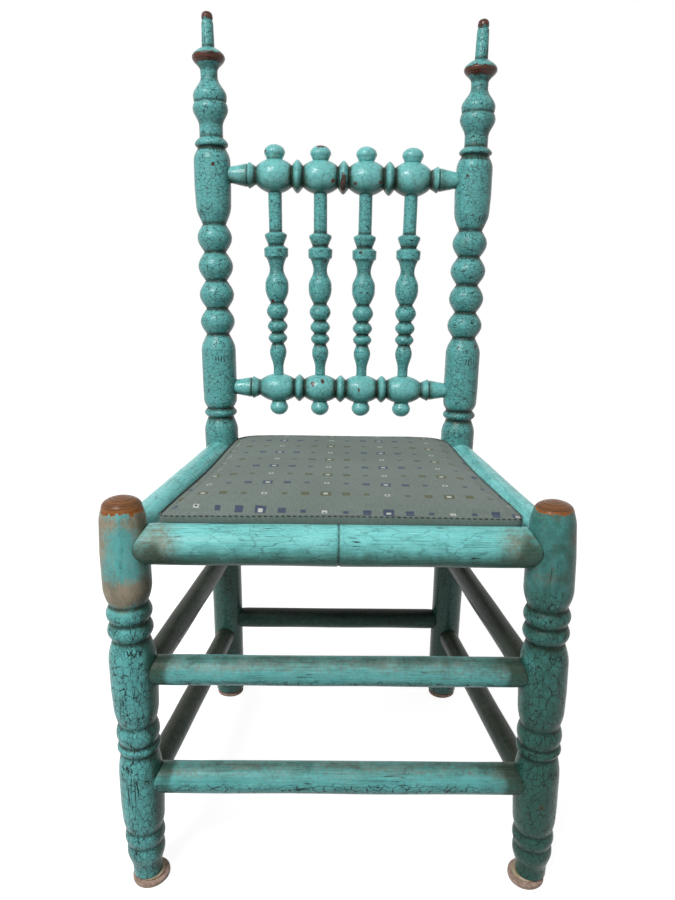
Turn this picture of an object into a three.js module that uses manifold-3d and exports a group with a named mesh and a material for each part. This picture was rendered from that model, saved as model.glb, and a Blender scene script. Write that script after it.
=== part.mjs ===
// Painted side chair of turned wood: two front legs, two tall rear posts with finials, round seat
// rails and stretchers tenoned into them, a spindle back between two turned rails, and a thin pad
// on a board that rests on the front and rear seat rails.
// Millimetres, +Z up, front towards -Y. The floor is z = 0.

import * as THREE from 'three';
import { mergeVertices } from 'three/addons/utils/BufferGeometryUtils.js';
import Module from 'manifold-3d';

const wasm = await Module();
wasm.setup();

// Driving sizes

const clearance = 0.3; // left between pieces that touch
const overrun = 4; // how far a boring tool starts outside the wood

const weldShare = 0.001; // of the clearance: points closer than this are one point

const facets = { turned: 12, slim: 8 }; // sides of the faceted round pieces
const steps = { bead: 4, ease: 2, sway: 3, ball: 4, disc: 3 }; // straight runs in each round stretch
const padSteps = { corner: 4, side: 6, rings: 8 }; // runs in a corner, in a side, and over the crown
const ballPower = 0.75; // of a back rail ball's swell: the lower, the fuller its shoulders
const discPower = 1.5; // of the fall from a back rail disc's edge: the higher, the blunter its edge
const crownPower = 6; // of the pad's fall towards its seam: the higher, the flatter its middle

const plan = {
  frontHalfSpan: 230.4, // half the distance between the front leg axes, at the floor
  frontShift: 2.3, // how far the middle between them lies right of the rear posts' middle
  rearHalfSpan: 182.9, // rear post axis to the middle, at the floor
  depth: 383.8, // front leg axes to rear post axes, at the floor
};

const frontLeg = {
  top: 477.5,
  radius: 25.8,
  leftLean: -3.8, // how far the top stands right of the foot: both have racked to the left
  rightLean: -12.8,
};

const rearPost = {
  top: 1058,
  radius: 26.6,
  rake: 26.6, // how far the tip stands behind the foot
  splay: 12.1, // how far the tip stands outside the foot
};

const glide = {
  feltRadius: 21.5,
  feltThickness: 5,
  collarRadius: 16,
  collarThickness: 3,
  nailRadius: 1.6,
  nailLength: 16,
  inset: 6, // how far the front glides are nailed inside the leg axes
};

const tenon = {
  radius: 8,
  tip: 12.5, // from the axis of the leg that takes it
};

const seatFrame = { top: 447 }; // highest line of the round seat rails

const frontSeatRail = { radius: 22, endRadius: 19.5, grooveDepth: 1.4, grooveHalfWidth: 1.8 };
const rearSeatRail = { radius: 20, endRadius: 17.5 };
const sideSeatRail = {
  radius: 20,
  endRadius: 17.5,
  grooveDepth: 1,
  grooveHalfWidth: 1.2,
  groovePitch: 9, // between the two scribed rings
};
const shoulder = { reach: 12, start: 13 }; // rounding beyond the leg, and first section, off its axis

const stretchers = {
  frontUpper: { height: 276, radius: 16.4, endRadius: 13.5 },
  frontLower: { height: 137.3, radius: 17.6, endRadius: 14.5 },
  sideUpper: { height: 252.5, radius: 15, endRadius: 12 },
  sideLower: { height: 113.6, radius: 15, endRadius: 12 },
  rear: { height: 136.9, radius: 16, endRadius: 12 },
};

const spindleCount = 4;
const spindle = { radius: 18.4, tenonRadius: 5.5, tenonLength: 12 };

const topRail = {
  height: 840.8, // at its middle
  drop: 3.6, // how much lower its right end is tenoned in
  pitch: 67.6, // from ball to ball
  ballRadius: 25.1,
  neckRadius: 14.8,
  discRadius: 23.8,
  discHalfBase: 8.4,
  endNeckRadius: 12.4,
  ringRadius: 18.6,
  ringPlace: 138.1, // its sharp edge, from the middle of the rail
  ringSlope: 9.6, // from that edge down to the neck of the last ball
  ringLip: 2.6, // from the edge to the bottom of the groove beyond it
  grooveRadius: 15.2,
  coneLength: 21,
  coneRadius: 16.3,
  tipRadius: 11.7,
};

const bottomRail = {
  rise: 81.2, // above the seat rails
  drop: 2.2,
  pitch: 64.3,
  ballRadius: 22.3,
  neckRadius: 13.9,
  discRadius: 21.4,
  discHalfBase: 7.9,
  endNeckRadius: 11.8,
  ringRadius: 17.2,
  ringPlace: 135.6,
  ringSlope: 10.5,
  ringLip: 2.6,
  grooveRadius: 14.2,
  coneLength: 22,
  coneRadius: 15.5,
  tipRadius: 11.5,
};

const topKnob = { radius: 15.5, height: 18.8, stemRadius: 5, stemLength: 12 };
const bottomKnob = { radius: 14.4, height: 21.2, stemRadius: 5, stemLength: 12 };

const legPlug = { radius: 4, length: 11, height: 119 };

const seatPad = {
  frontHalfWidth: 194, // at the corner of its straight sides
  rearHalfWidth: 158,
  frontEdge: 9, // behind the front leg axes
  rearEdge: 393,
  frontCorner: 14,
  rearCorner: 40,
  drawnIn: 4, // how far each side pulls in between its corners
  bandHeight: 6.5, // from the underside to the seam
  bandInset: 1.5, // how far the underside lies inside the seam
  bandTurn: 2.2, // the turned edge just under the seam
  crown: 11,
};
const seatBoard = { thickness: 4, inset: 5 };

// Profiles of the turned pieces. Each row is a stretch: its shape, then the share of the length at
// which it ends, the share of the greatest radius there, and for a bead the share at its middle.
// An early stretch changes its radius first and then runs along, a late one does so the other way,
// a sway eases in and out like an S, and a dome rounds over to a full stop.

const frontLegFootShare = 0.648;
const frontLegShares = [
  ['line', 0.0197, 0.656],
  ['sway', 0.0712, 0.84],
  ['late', 0.0924, 0.785],
  ['bead', 0.1352, 0.792, 0.88],
  ['early', 0.1714, 0.911],
  ['line', 0.2056, 0.944],
  ['line', 0.2923, 0.951],
  ['late', 0.3558, 0.79],
  ['bead', 0.3826, 0.82, 0.935],
  ['bead', 0.4349, 0.81, 0.93],
  ['early', 0.485, 0.962],
  ['line', 0.5305, 0.995],
  ['line', 0.6016, 0.995],
  ['late', 0.6577, 0.765],
  ['bead', 0.7017, 0.8, 0.955],
  ['bead', 0.7449, 0.79, 0.955],
  ['early', 0.7911, 1],
  ['line', 0.871, 0.993],
  ['line', 0.9397, 0.933],
  ['late', 0.9771, 0.802],
  ['dome', 1, 0],
];

const rearPostFootShare = 0.875;
const rearPostShares = [
  ['line', 0.1517, 0.892],
  ['line', 0.43, 0.974],
  ['late', 0.4513, 0.735],
  ['bead', 0.465, 0.75, 0.945],
  ['early', 0.4775, 0.963],
  ['line', 0.5, 0.985],
  ['line', 0.5495, 0.985],
  ['late', 0.5741, 0.632],
  ['bead', 0.6106, 0.596, 0.97],
  ['bead', 0.65, 0.596, 0.97],
  ['bead', 0.6898, 0.6, 0.974],
  ['bead', 0.7277, 0.64, 0.964],
  ['early', 0.7545, 0.97],
  ['line', 0.7781, 1],
  ['line', 0.812, 0.989],
  ['late', 0.8293, 0.72],
  ['line', 0.8308, 0.86],
  ['line', 0.833, 0.9],
  ['late', 0.8425, 0.628],
  ['line', 0.8575, 0.632],
  ['sway', 0.8794, 0.952],
  ['line', 0.884, 0.915],
  ['line', 0.8872, 0.835],
  ['line', 0.889, 0.88],
  ['line', 0.8945, 0.907],
  ['sway', 0.919, 0.455],
  ['line', 0.927, 0.465],
  ['sway', 0.9431, 0.885],
  ['late', 0.9555, 0.36],
  ['line', 0.9566, 0.341],
  ['line', 0.9858, 0.318],
  ['line', 0.9888, 0.265],
  ['line', 0.991, 0.31],
  ['line', 0.9945, 0.295],
  ['dome', 1, 0],
];

// How much lower the turnings of the right rear post stand: [share of its length, drop].
const rightPostDropShares = [
  [0.4, 0],
  [0.43, 0.0006],
  [0.66, 0.0013],
  [0.725, 0.0035],
  [0.76, 0.0047],
  [0.83, 0.0052],
  [0.845, 0.008],
  [0.92, 0.0083],
  [0.943, 0.0098],
  [0.957, 0.0092],
  [0.985, 0.0033],
  [1, 0.0033],
];

const spindleFootShare = 0.434;
const spindleShares = [
  ['line', 0.04, 0.434],
  ['sway', 0.13, 0.706],
  ['late', 0.179, 0.485],
  ['bead', 0.241, 0.49, 0.787],
  ['bead', 0.3134, 0.49, 0.826],
  ['bead', 0.4093, 0.53, 0.875],
  ['early', 0.4904, 0.954],
  ['line', 0.5154, 0.95],
  ['sway', 0.5956, 0.568],
  ['late', 0.656, 0.795],
  ['line', 0.6657, 0.974],
  ['line', 0.7103, 1],
  ['line', 0.7266, 0.625],
  ['line', 0.7726, 0.91],
  ['line', 0.786, 0.91],
  ['line', 0.7995, 0.54],
  ['line', 1, 0.54],
];

const knobFootShare = 0.62;
const knobShares = [
  ['early', 0.45, 1],
  ['dome', 1, 0],
];

// Finishes

const paint = { color: 0x4f9f96, roughness: 0.45, metalness: 0 };
const felt = { color: 0x8c7467, roughness: 0.95, metalness: 0 };
const collarWood = { color: 0xb5a58d, roughness: 0.7, metalness: 0 };
const boardWood = { color: 0xb08d62, roughness: 0.8, metalness: 0 };
const fabric = { color: 0x76867f, roughness: 0.9, metalness: 0 };

// Geometry helpers

const ringShare = (index, count) => (index / count) * Math.PI;

/** For each shape of stretch: how much of its change of radius is done at a share of its run. */
const rises = {
  line: (share) => share,
  early: (share) => Math.sin((Math.PI / 2) * share),
  late: (share) => 1 - Math.cos((Math.PI / 2) * share),
  sway: (share) => (1 - Math.cos(Math.PI * share)) / 2,
  dome: (share) => 1 - Math.sqrt(1 - share ** 2),
  bead: (share) => share,
};
const runs = { line: 1, early: steps.ease, late: steps.ease, sway: steps.sway, dome: steps.ease };

/** Runs a table of shares into profile points [radius, height] from `from` to `to`. */
function profile(rows, footShare, radius, from, to) {
  const length = to - from;
  const points = [[footShare * radius, from]];
  for (const [shape, heightShare, radiusShare, middleShare] of rows) {
    const [r0, z0] = points[points.length - 1];
    const r1 = radiusShare * radius;
    const z1 = from + heightShare * length;
    const swell = shape === 'bead' ? middleShare * radius - (r0 + r1) / 2 : 0;
    const count = runs[shape] ?? steps.bead;
    for (let i = 1; i <= count; i += 1) {
      const share = shape === 'dome' ? Math.sin(ringShare(i, count) / 2) : i / count;
      const base = r0 + (r1 - r0) * rises[shape](share);
      points.push([base + swell * Math.sin(Math.PI * share), z0 + (z1 - z0) * share]);
    }
  }
  return points;
}

/** The drop that a table of [share, drop] gives at a share, straight between its rows. */
function dropAt(drops, share) {
  const next = drops.findIndex(([end]) => end > share);
  if (next === 0) return drops[0][1];
  if (next < 0) return drops[drops.length - 1][1];
  const [[from, low], [to, high]] = [drops[next - 1], drops[next]];
  return low + ((high - low) * (share - from)) / (to - from);
}

/** A table of stretches whose ends stand lower by the drops of a second table. */
const lowered = (rows, drops) =>
  rows.map(([shape, height, ...radii]) => [shape, height - dropAt(drops, height), ...radii]);

/** Closes a profile onto the axis at both ends. */
function closed(points) {
  const first = points[0];
  const last = points[points.length - 1];
  const ends = [...points];
  if (first[0] > 0) ends.unshift([0, first[1]]);
  if (last[0] > 0) ends.push([0, last[1]]);
  return ends;
}

/** Merges shared vertices and drops the triangles that collapse on the axis. */
function welded(geometry) {
  const bare = geometry.clone();
  bare.deleteAttribute('normal');
  bare.deleteAttribute('uv');
  const merged = mergeVertices(bare, weldShare * clearance);
  const index = merged.getIndex().array;
  const kept = [];
  for (let i = 0; i < index.length; i += 3) {
    const [a, b, c] = [index[i], index[i + 1], index[i + 2]];
    if (a !== b && b !== c && c !== a) kept.push(a, b, c);
  }
  merged.setIndex(kept);
  return merged;
}

/** A turned solid about Z from its profile, with flats towards X and Y. */
function turned(points, sides = facets.turned) {
  const outline = closed(points).map(([radius, height]) => new THREE.Vector2(radius, height));
  const lathe = new THREE.LatheGeometry(outline, sides, Math.PI / sides, 2 * Math.PI);
  lathe.rotateX(Math.PI / 2);
  return welded(lathe);
}

/** A plain round bar about Z between two heights. */
function bar(radius, from, to, sides = facets.turned) {
  return turned([[radius, from], [radius, to]], sides);
}

/** How far the flats of a faceted round piece lie from its axis. */
const flatRadius = (radius, sides = facets.turned) => radius * Math.cos(Math.PI / sides);

/** The radius whose flats clear a round piece of the given radius by the clearance. */
const boreRadius = (radius, sides = facets.turned) =>
  (radius + clearance) / Math.cos(Math.PI / sides);

function toManifold(geometry) {
  const vertProperties = new Float32Array(geometry.getAttribute('position').array);
  const triVerts = new Uint32Array(geometry.getIndex().array);
  return new wasm.Manifold(new wasm.Mesh({ numProp: 3, vertProperties, triVerts }));
}

function fromManifold(solid) {
  const mesh = solid.getMesh();
  const geometry = new THREE.BufferGeometry();
  geometry.setAttribute('position', new THREE.BufferAttribute(mesh.vertProperties, mesh.numProp));
  geometry.setIndex(new THREE.BufferAttribute(mesh.triVerts, 1));
  return geometry;
}

/** A solid in its own frame, and where that frame stands in the chair. */
class Piece {
  constructor(geometry, frame = new THREE.Matrix4()) {
    this.geometry = geometry;
    this.frame = frame;
  }

  solidIn(frame) {
    const toFrame = frame.clone().invert().multiply(this.frame);
    return toManifold(this.geometry.clone().applyMatrix4(toFrame));
  }

  minus(...tools) {
    const cut = tools.reduce(
      (rest, tool) => rest.subtract(tool.solidIn(this.frame)),
      toManifold(this.geometry),
    );
    return new Piece(fromManifold(cut), this.frame);
  }

  plus(...additions) {
    const joined = additions.reduce(
      (sum, piece) => sum.add(piece.solidIn(this.frame)),
      toManifold(this.geometry),
    );
    return new Piece(fromManifold(joined), this.frame);
  }
}

/** The frame at a point whose Z axis runs towards another point. */
function frameAlong(start, end) {
  const direction = end.clone().sub(start).normalize();
  const turn = new THREE.Quaternion().setFromUnitVectors(new THREE.Vector3(0, 0, 1), direction);
  return new THREE.Matrix4().compose(start, turn, new THREE.Vector3(1, 1, 1));
}

// Axes that everything lines up with

const legFoot = glide.feltThickness + glide.collarThickness + 2 * clearance;

/** Point of the leaning front leg axis on one side (-1 left, 1 right) at a height. */
function frontAxis(side, height) {
  const lean = side < 0 ? frontLeg.leftLean : frontLeg.rightLean;
  const foot = plan.frontShift + side * plan.frontHalfSpan;
  return new THREE.Vector3(foot + (lean * height) / frontLeg.top, 0, height);
}

/** Point of the raked and splayed rear post axis on one side at a height. */
function rearAxis(side, height) {
  const risen = height / rearPost.top;
  return new THREE.Vector3(
    side * (plan.rearHalfSpan + rearPost.splay * risen),
    plan.depth + rearPost.rake * risen,
    height,
  );
}

// Front legs and rear posts

const sides = { left: -1, right: 1 };

/** A leg or post on one side: its turned profile, and the frame of its axis at the floor. */
class Upright {
  constructor(axis, side, size, shares, footShare) {
    this.at = (height) => axis(side, height);
    this.size = size;
    this.frame = frameAlong(this.at(0), this.at(size.top));
    const length = this.at(0).distanceTo(this.at(size.top));
    this.points = profile(shares, footShare, size.radius, legFoot, length);
  }

  /** The turned solid, with its foot cut level just above the glide. */
  blank() {
    const width = 4 * this.size.radius;
    const [footRadius] = this.points[0];
    const body = new Piece(turned([[footRadius, legFoot - overrun], ...this.points]), this.frame);
    const level = this.at(0).setZ(legFoot - width / 2);
    const below = welded(new THREE.BoxGeometry(width, width, width));
    return body.minus(new Piece(below, new THREE.Matrix4().setPosition(level)));
  }

  /** The greatest radius of the profile within a reach of a height. */
  girth(height, reach) {
    const radii = this.points.slice(1).map(([r1, z1], i) => {
      const [r0, z0] = this.points[i];
      const from = Math.max(z0, height - reach);
      const to = Math.min(z1, height + reach);
      const radiusAt = (z) => r0 + ((r1 - r0) * (z - z0)) / (z1 - z0);
      return from < to ? Math.max(radiusAt(from), radiusAt(to)) : 0;
    });
    return Math.max(...radii);
  }

  /** The round tool that shapes the shoulder of a bar to this upright, just clear of it. */
  cope(height, reach) {
    const radius = this.girth(height, reach) + clearance;
    return new Piece(bar(radius, height - 2 * reach, height + 2 * reach), this.frame);
  }
}

const makeFrontLeg = (side) =>
  new Upright(frontAxis, side, frontLeg, frontLegShares, frontLegFootShare);
const makeRearPost = (side, shares) =>
  new Upright(rearAxis, side, rearPost, shares, rearPostFootShare);

const frontLegs = { left: makeFrontLeg(sides.left), right: makeFrontLeg(sides.right) };
const rearPosts = {
  left: makeRearPost(sides.left, rearPostShares),
  right: makeRearPost(sides.right, lowered(rearPostShares, rightPostDropShares)),
};

// Rails and stretchers: round bars with stub tenons

/** A scribed groove as profile points about a place on a bar. */
function groove(place, radius, size) {
  return [
    [radius, place - size.grooveHalfWidth],
    [radius - size.grooveDepth, place],
    [radius, place + size.grooveHalfWidth],
  ];
}

/** The end of a bar that rounds up from its shoulder to full thickness, from the start. */
function shoulderPoints(size, girth) {
  const length = girth + shoulder.reach - shoulder.start;
  const points = [];
  for (let i = 0; i <= steps.ease; i += 1) {
    const angle = ringShare(i, steps.ease) / 2;
    const rise = (size.radius - size.endRadius) * Math.sin(angle);
    points.push([size.endRadius + rise, shoulder.start + length * (1 - Math.cos(angle))]);
  }
  return points;
}

/** The tenons of a bar of a given length, and the mortises that take them. */
function endJoints(frame, length, [startGirth, endGirth]) {
  const stub = (radius, from, to) => new Piece(bar(radius, from, to, facets.slim), frame);
  const bore = boreRadius(tenon.radius, facets.slim);
  const floor = tenon.tip - clearance;
  return {
    tenons: [
      stub(tenon.radius, tenon.tip, startGirth + shoulder.reach),
      stub(tenon.radius, length - endGirth - shoulder.reach, length - tenon.tip),
    ],
    mortises: [
      stub(bore, floor, startGirth + overrun),
      stub(bore, length - endGirth - overrun, length - floor),
    ],
  };
}

/** A bar between two uprights at a height, its frame at the first one's axis. */
function makeBar(size, height, first, second, grooves = () => []) {
  const start = first.at(height);
  const end = second.at(height);
  const length = start.distanceTo(end);
  const frame = frameAlong(start, end);
  const girths = [first, second].map((upright) => upright.girth(height, size.radius));
  const head = shoulderPoints(size, girths[0]);
  const tail = shoulderPoints(size, girths[1]).reverse().map(([r, z]) => [r, length - z]);
  const points = [...head, ...grooves(length / 2, size.radius), ...tail];
  return {
    body: new Piece(turned(points), frame),
    copes: [first, second].map((upright) => upright.cope(height, size.radius)),
    ...endJoints(frame, length, girths),
  };
}

/** A bar's shoulders cut to its uprights, clear of what else passes, with its tenons on. */
const jointed = (made, ...others) => made.body.minus(...made.copes, ...others).plus(...made.tenons);

const middleGroove = (middle, radius) => groove(middle, radius, frontSeatRail);
const doubleGroove = (middle, radius) => [
  ...groove(middle - sideSeatRail.groovePitch / 2, radius, sideSeatRail),
  ...groove(middle + sideSeatRail.groovePitch / 2, radius, sideSeatRail),
];

const crossBar = (size, pair, height = size.height, grooves = undefined) =>
  makeBar(size, height, pair.left, pair.right, grooves);
const sideBar = (size, name, height = size.height, grooves = undefined) =>
  makeBar(size, height, frontLegs[name], rearPosts[name], grooves);

/** The height of a seat rail's axis, with the flat along its crest at the top of the frame. */
const seatHeight = (size) => seatFrame.top - flatRadius(size.radius);

const frontSeatBar = crossBar(frontSeatRail, frontLegs, seatHeight(frontSeatRail), middleGroove);
const rearSeatBar = crossBar(rearSeatRail, rearPosts, seatHeight(rearSeatRail));

const frontBars = {
  front_seat_rail: frontSeatBar,
  front_upper_stretcher: crossBar(stretchers.frontUpper, frontLegs),
  front_lower_stretcher: crossBar(stretchers.frontLower, frontLegs),
};

const rearBars = {
  rear_seat_rail: rearSeatBar,
  rear_stretcher: crossBar(stretchers.rear, rearPosts),
};

const sideBars = (name) => ({
  seat_rail: sideBar(sideSeatRail, name, seatHeight(sideSeatRail), doubleGroove),
  upper_stretcher: sideBar(stretchers.sideUpper, name),
  lower_stretcher: sideBar(stretchers.sideLower, name),
});

/** A seat rail between legs swollen by the clearance, to cut the side rails that pass it. */
function railCutter(size, pair) {
  const reach = size.radius + clearance;
  const start = pair.left.at(seatHeight(size));
  const end = pair.right.at(seatHeight(size));
  return new Piece(bar(reach, tenon.tip, start.distanceTo(end) - tenon.tip), frameAlong(start, end));
}

// Back rails: balls, sharp discs, rings and coned ends

/** A lens shaped disc of a back rail as profile points about a place. */
function discPoints(size, place) {
  return Array.from({ length: 2 * steps.disc + 1 }, (_, i) => {
    const share = i / steps.disc - 1;
    const fall = (size.discRadius - size.neckRadius) * Math.abs(share) ** discPower;
    return [size.discRadius - fall, place + share * size.discHalfBase];
  });
}

/** A ball of a back rail as profile points between the necks at its two ends. */
function ballPoints(size, [r0, start], [r1, end]) {
  return Array.from({ length: steps.ball - 1 }, (_, i) => {
    const share = (i + 1) / steps.ball;
    const base = r0 + (r1 - r0) * share;
    const swell = (size.ballRadius - (r0 + r1) / 2) * Math.sin(Math.PI * share) ** ballPower;
    return [base + swell, start + (end - start) * share];
  });
}

/** The ring and the cone at the outer end of a back rail, up to where the post takes it. */
function ringedEnd(size, end) {
  const coneStart = size.ringPlace + 2 * size.ringLip;
  return [
    [size.endNeckRadius, size.ringPlace - size.ringSlope],
    [size.ringRadius, size.ringPlace],
    [size.grooveRadius, size.ringPlace + size.ringLip],
    [size.coneRadius, coneStart],
    [size.tipRadius, coneStart + size.coneLength],
    [size.tipRadius, end],
  ];
}

/** Half of a back rail's profile, from its middle outwards, as [radius, place]. */
function backRailHalf(size, halfLength) {
  const parts = Array.from({ length: spindleCount / 2 }, (_, i) => discPoints(size, i * size.pitch));
  parts[0] = parts[0].filter(([, place]) => place >= 0);
  parts.push(ringedEnd(size, halfLength - shoulder.start));
  return parts.flatMap((part, i) => {
    const next = parts[i + 1];
    return next ? [...part, ...ballPoints(size, part[part.length - 1], next[0])] : part;
  });
}

/** How far right of the middle of a back rail a ball stands. */
const ballPlace = (index, pitch) => (index - (spindleCount - 1) / 2) * pitch;

/** A back rail between the rear posts, with its joints and the places of its balls. */
function makeBackRail(size, height) {
  const posts = [rearPosts.left, rearPosts.right];
  const start = posts[0].at(height + size.drop / 2);
  const end = posts[1].at(height - size.drop / 2);
  const length = start.distanceTo(end);
  const frame = frameAlong(start, end);
  const half = backRailHalf(size, length / 2);
  const mirrored = half.slice(1).reverse().map(([radius, place]) => [radius, -place]);
  const points = [...mirrored, ...half].map(([radius, place]) => [radius, place + length / 2]);
  const girths = posts.map((post) => post.girth(height, size.tipRadius));
  return {
    body: new Piece(turned(points), frame),
    copes: posts.map((post) => post.cope(height, size.tipRadius)),
    ...endJoints(frame, length, girths),
    ball: (index) => start.clone().lerp(end, 1 / 2 + ballPlace(index, size.pitch) / length),
    seat: flatRadius(size.ballRadius) + clearance, // where a spindle or a knob meets a ball
  };
}

const upperBackRail = makeBackRail(topRail, topRail.height);
const lowerBackRail = makeBackRail(bottomRail, seatFrame.top + bottomRail.rise);

// Spindles and knobs

/** A spindle between the balls of the two back rails, with the bores that take its tenons. */
function makeSpindle(index) {
  const low = lowerBackRail.ball(index);
  const high = upperBackRail.ball(index);
  const frame = frameAlong(low, high);
  const foot = lowerBackRail.seat;
  const head = low.distanceTo(high) - upperBackRail.seat;
  const footTip = foot - spindle.tenonLength;
  const headTip = head + spindle.tenonLength;
  const points = [
    [spindle.tenonRadius, footTip],
    [spindle.tenonRadius, foot],
    ...profile(spindleShares, spindleFootShare, spindle.radius, foot, head),
    [spindle.tenonRadius, head],
    [spindle.tenonRadius, headTip],
  ];
  const bore = boreRadius(spindle.tenonRadius, facets.slim);
  return {
    piece: new Piece(turned(points, facets.slim), frame),
    lowBore: new Piece(bar(bore, footTip - clearance, foot + overrun, facets.slim), frame),
    highBore: new Piece(bar(bore, head - overrun, headTip + clearance, facets.slim), frame),
  };
}

/** A turned button on a ball of a rail, on its stem, pointing up (1) or down (-1). */
function makeKnob(size, rail, index, way) {
  const centre = rail.ball(index);
  const frame = frameAlong(centre, centre.clone().add(new THREE.Vector3(0, 0, way)));
  const stemTip = rail.seat - size.stemLength;
  const crown = rail.seat + size.height;
  const points = [
    [size.stemRadius, stemTip],
    [size.stemRadius, rail.seat],
    ...profile(knobShares, knobFootShare, size.radius, rail.seat, crown),
  ];
  const bore = boreRadius(size.stemRadius, facets.slim);
  return {
    piece: new Piece(turned(points, facets.slim), frame),
    bore: new Piece(bar(bore, stemTip - clearance, rail.seat + overrun, facets.slim), frame),
  };
}

const indices = Array.from({ length: spindleCount }, (_, index) => index);
const spindles = indices.map(makeSpindle);
const topKnobs = indices.map((index) => makeKnob(topKnob, upperBackRail, index, 1));
const bottomKnobs = indices.map((index) => makeKnob(bottomKnob, lowerBackRail, index, -1));

// Glides: a collar nailed into the foot and a felt disc under it, the front ones set inwards

function makeGlide(foot, inset = 0) {
  const collarLow = glide.feltThickness + clearance;
  const collarHigh = collarLow + glide.collarThickness;
  const nailTop = collarHigh + glide.nailLength;
  const place = foot.clone().setX(foot.x - inset * Math.sign(foot.x));
  const frame = new THREE.Matrix4().setPosition(place);
  const upright = (radius, from, to, sides) => new Piece(bar(radius, from, to, sides), frame);
  const nail = upright(glide.nailRadius, collarLow, nailTop, facets.slim);
  const bore = boreRadius(glide.nailRadius, facets.slim);
  return {
    collar: upright(glide.collarRadius, collarLow, collarHigh).plus(nail),
    felt: upright(glide.feltRadius, 0, glide.feltThickness),
    bore: upright(bore, collarHigh, nailTop + clearance, facets.slim),
  };
}

// The plug over the peg hole in the right front leg

function makePlug() {
  const axis = frontLegs.right.at(legPlug.height);
  const frame = frameAlong(axis, axis.clone().add(new THREE.Vector3(0, -1, 0)));
  const face = flatRadius(frontLegs.right.girth(legPlug.height, legPlug.radius));
  const inner = face - legPlug.length;
  const bore = boreRadius(legPlug.radius, facets.slim);
  return {
    piece: new Piece(bar(legPlug.radius, inner, face, facets.slim), frame),
    bore: new Piece(bar(bore, inner - clearance, face + overrun, facets.slim), frame),
  };
}

// Seat pad and board

/** The corners of the pad's straight sides in plan, anticlockwise: [x, y, corner radius]. */
const padCorners = [
  [-seatPad.frontHalfWidth, seatPad.frontEdge, seatPad.frontCorner],
  [seatPad.frontHalfWidth, seatPad.frontEdge, seatPad.frontCorner],
  [seatPad.rearHalfWidth, seatPad.rearEdge, seatPad.rearCorner],
  [-seatPad.rearHalfWidth, seatPad.rearEdge, seatPad.rearCorner],
];

/** The outward normal of the pad's side from one corner to the next. */
function sideNormal(index) {
  const [x0, y0] = padCorners[index % padCorners.length];
  const [x1, y1] = padCorners[(index + 1) % padCorners.length];
  return new THREE.Vector2(y1 - y0, x0 - x1).normalize();
}

/** The arc that rounds a corner of the pad, moved inwards by an inset. */
function cornerArc(index, inset) {
  const [x, y, radius] = padCorners[index];
  const from = sideNormal(index + padCorners.length - 1);
  const to = sideNormal(index);
  const inwards = from.clone().add(to).multiplyScalar(radius / (1 + from.dot(to)));
  const centre = new THREE.Vector2(x, y).sub(inwards);
  const turn = Math.acos(from.dot(to));
  return Array.from({ length: padSteps.corner + 1 }, (_, i) => {
    const angle = from.angle() + turn * (i / padSteps.corner);
    return new THREE.Vector2(Math.cos(angle), Math.sin(angle))
      .multiplyScalar(radius - inset)
      .add(centre);
  });
}

/** The pad's outline in plan, its sides drawn in between the corners, moved inwards by an inset. */
function padOutline(inset) {
  const arcs = padCorners.map((_, index) => cornerArc(index, inset));
  return arcs.flatMap((arc, index) => {
    const start = arc[arc.length - 1];
    const end = arcs[(index + 1) % arcs.length][0];
    const normal = sideNormal(index);
    const side = Array.from({ length: padSteps.side - 1 }, (_, i) => {
      const share = (i + 1) / padSteps.side;
      const draw = -seatPad.drawnIn * Math.sin(Math.PI * share) ** 2;
      return start.clone().lerp(end, share).addScaledVector(normal, draw);
    });
    return [...arc, ...side];
  });
}

/** Skins a stack of level outlines of equal count, closed by a fan at each end. */
function stacked(rings, topHeight = rings[rings.length - 1].height) {
  const count = rings[0].points.length;
  const positions = rings.flatMap(({ points, height }) =>
    points.flatMap((point) => [point.x, point.y, height]));
  const index = [];
  const eachSide = (ring, visit) => {
    for (let i = 0; i < count; i += 1) visit(ring * count + i, ring * count + ((i + 1) % count));
  };
  for (let ring = 0; ring + 1 < rings.length; ring += 1) {
    eachSide(ring, (a, b) => index.push(a, b, b + count, a, b + count, a + count));
  }
  const hub = (ring, height) => {
    const middle = rings[ring].points
      .reduce((sum, point) => sum.add(point), new THREE.Vector2())
      .divideScalar(count);
    return positions.push(middle.x, middle.y, height) / 3 - 1;
  };
  const low = hub(0, rings[0].height);
  eachSide(0, (a, b) => index.push(low, b, a));
  const high = hub(rings.length - 1, topHeight);
  eachSide(rings.length - 1, (a, b) => index.push(high, a, b));
  const geometry = new THREE.BufferGeometry();
  geometry.setAttribute('position', new THREE.Float32BufferAttribute(positions, 3));
  geometry.setIndex(index);
  return geometry;
}

const boardLow = seatFrame.top + clearance;
const boardHigh = boardLow + seatBoard.thickness;

/** A slab of the board's outline, grown by a margin, between two heights. */
function boardSlab(margin, low, high) {
  const points = padOutline(seatBoard.inset - margin);
  return new Piece(stacked([{ points, height: low }, { points, height: high }]));
}

/** The pad: a turned band, a seam, and a crown that falls off towards it, over the board. */
function makePad() {
  const edge = padOutline(0);
  const seam = boardLow + seatPad.bandHeight;
  const middle = new THREE.Vector2(0, (seatPad.frontEdge + seatPad.rearEdge) / 2);
  const rings = [
    { points: padOutline(seatPad.bandInset), height: boardLow },
    { points: edge, height: seam - seatPad.bandTurn },
    { points: edge, height: seam },
  ];
  for (let i = padSteps.rings - 1; i > 0; i -= 1) {
    const share = Math.sin(ringShare(i, padSteps.rings) / 2);
    const points = edge.map((point) => middle.clone().lerp(point, share));
    rings.push({ points, height: seam + seatPad.crown * (1 - share ** crownPower) });
  }
  const recess = boardSlab(clearance, boardLow - overrun, boardHigh + clearance);
  return new Piece(stacked(rings, seam + seatPad.crown)).minus(recess);
}

// Assembly

const chair = new THREE.Group();

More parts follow.
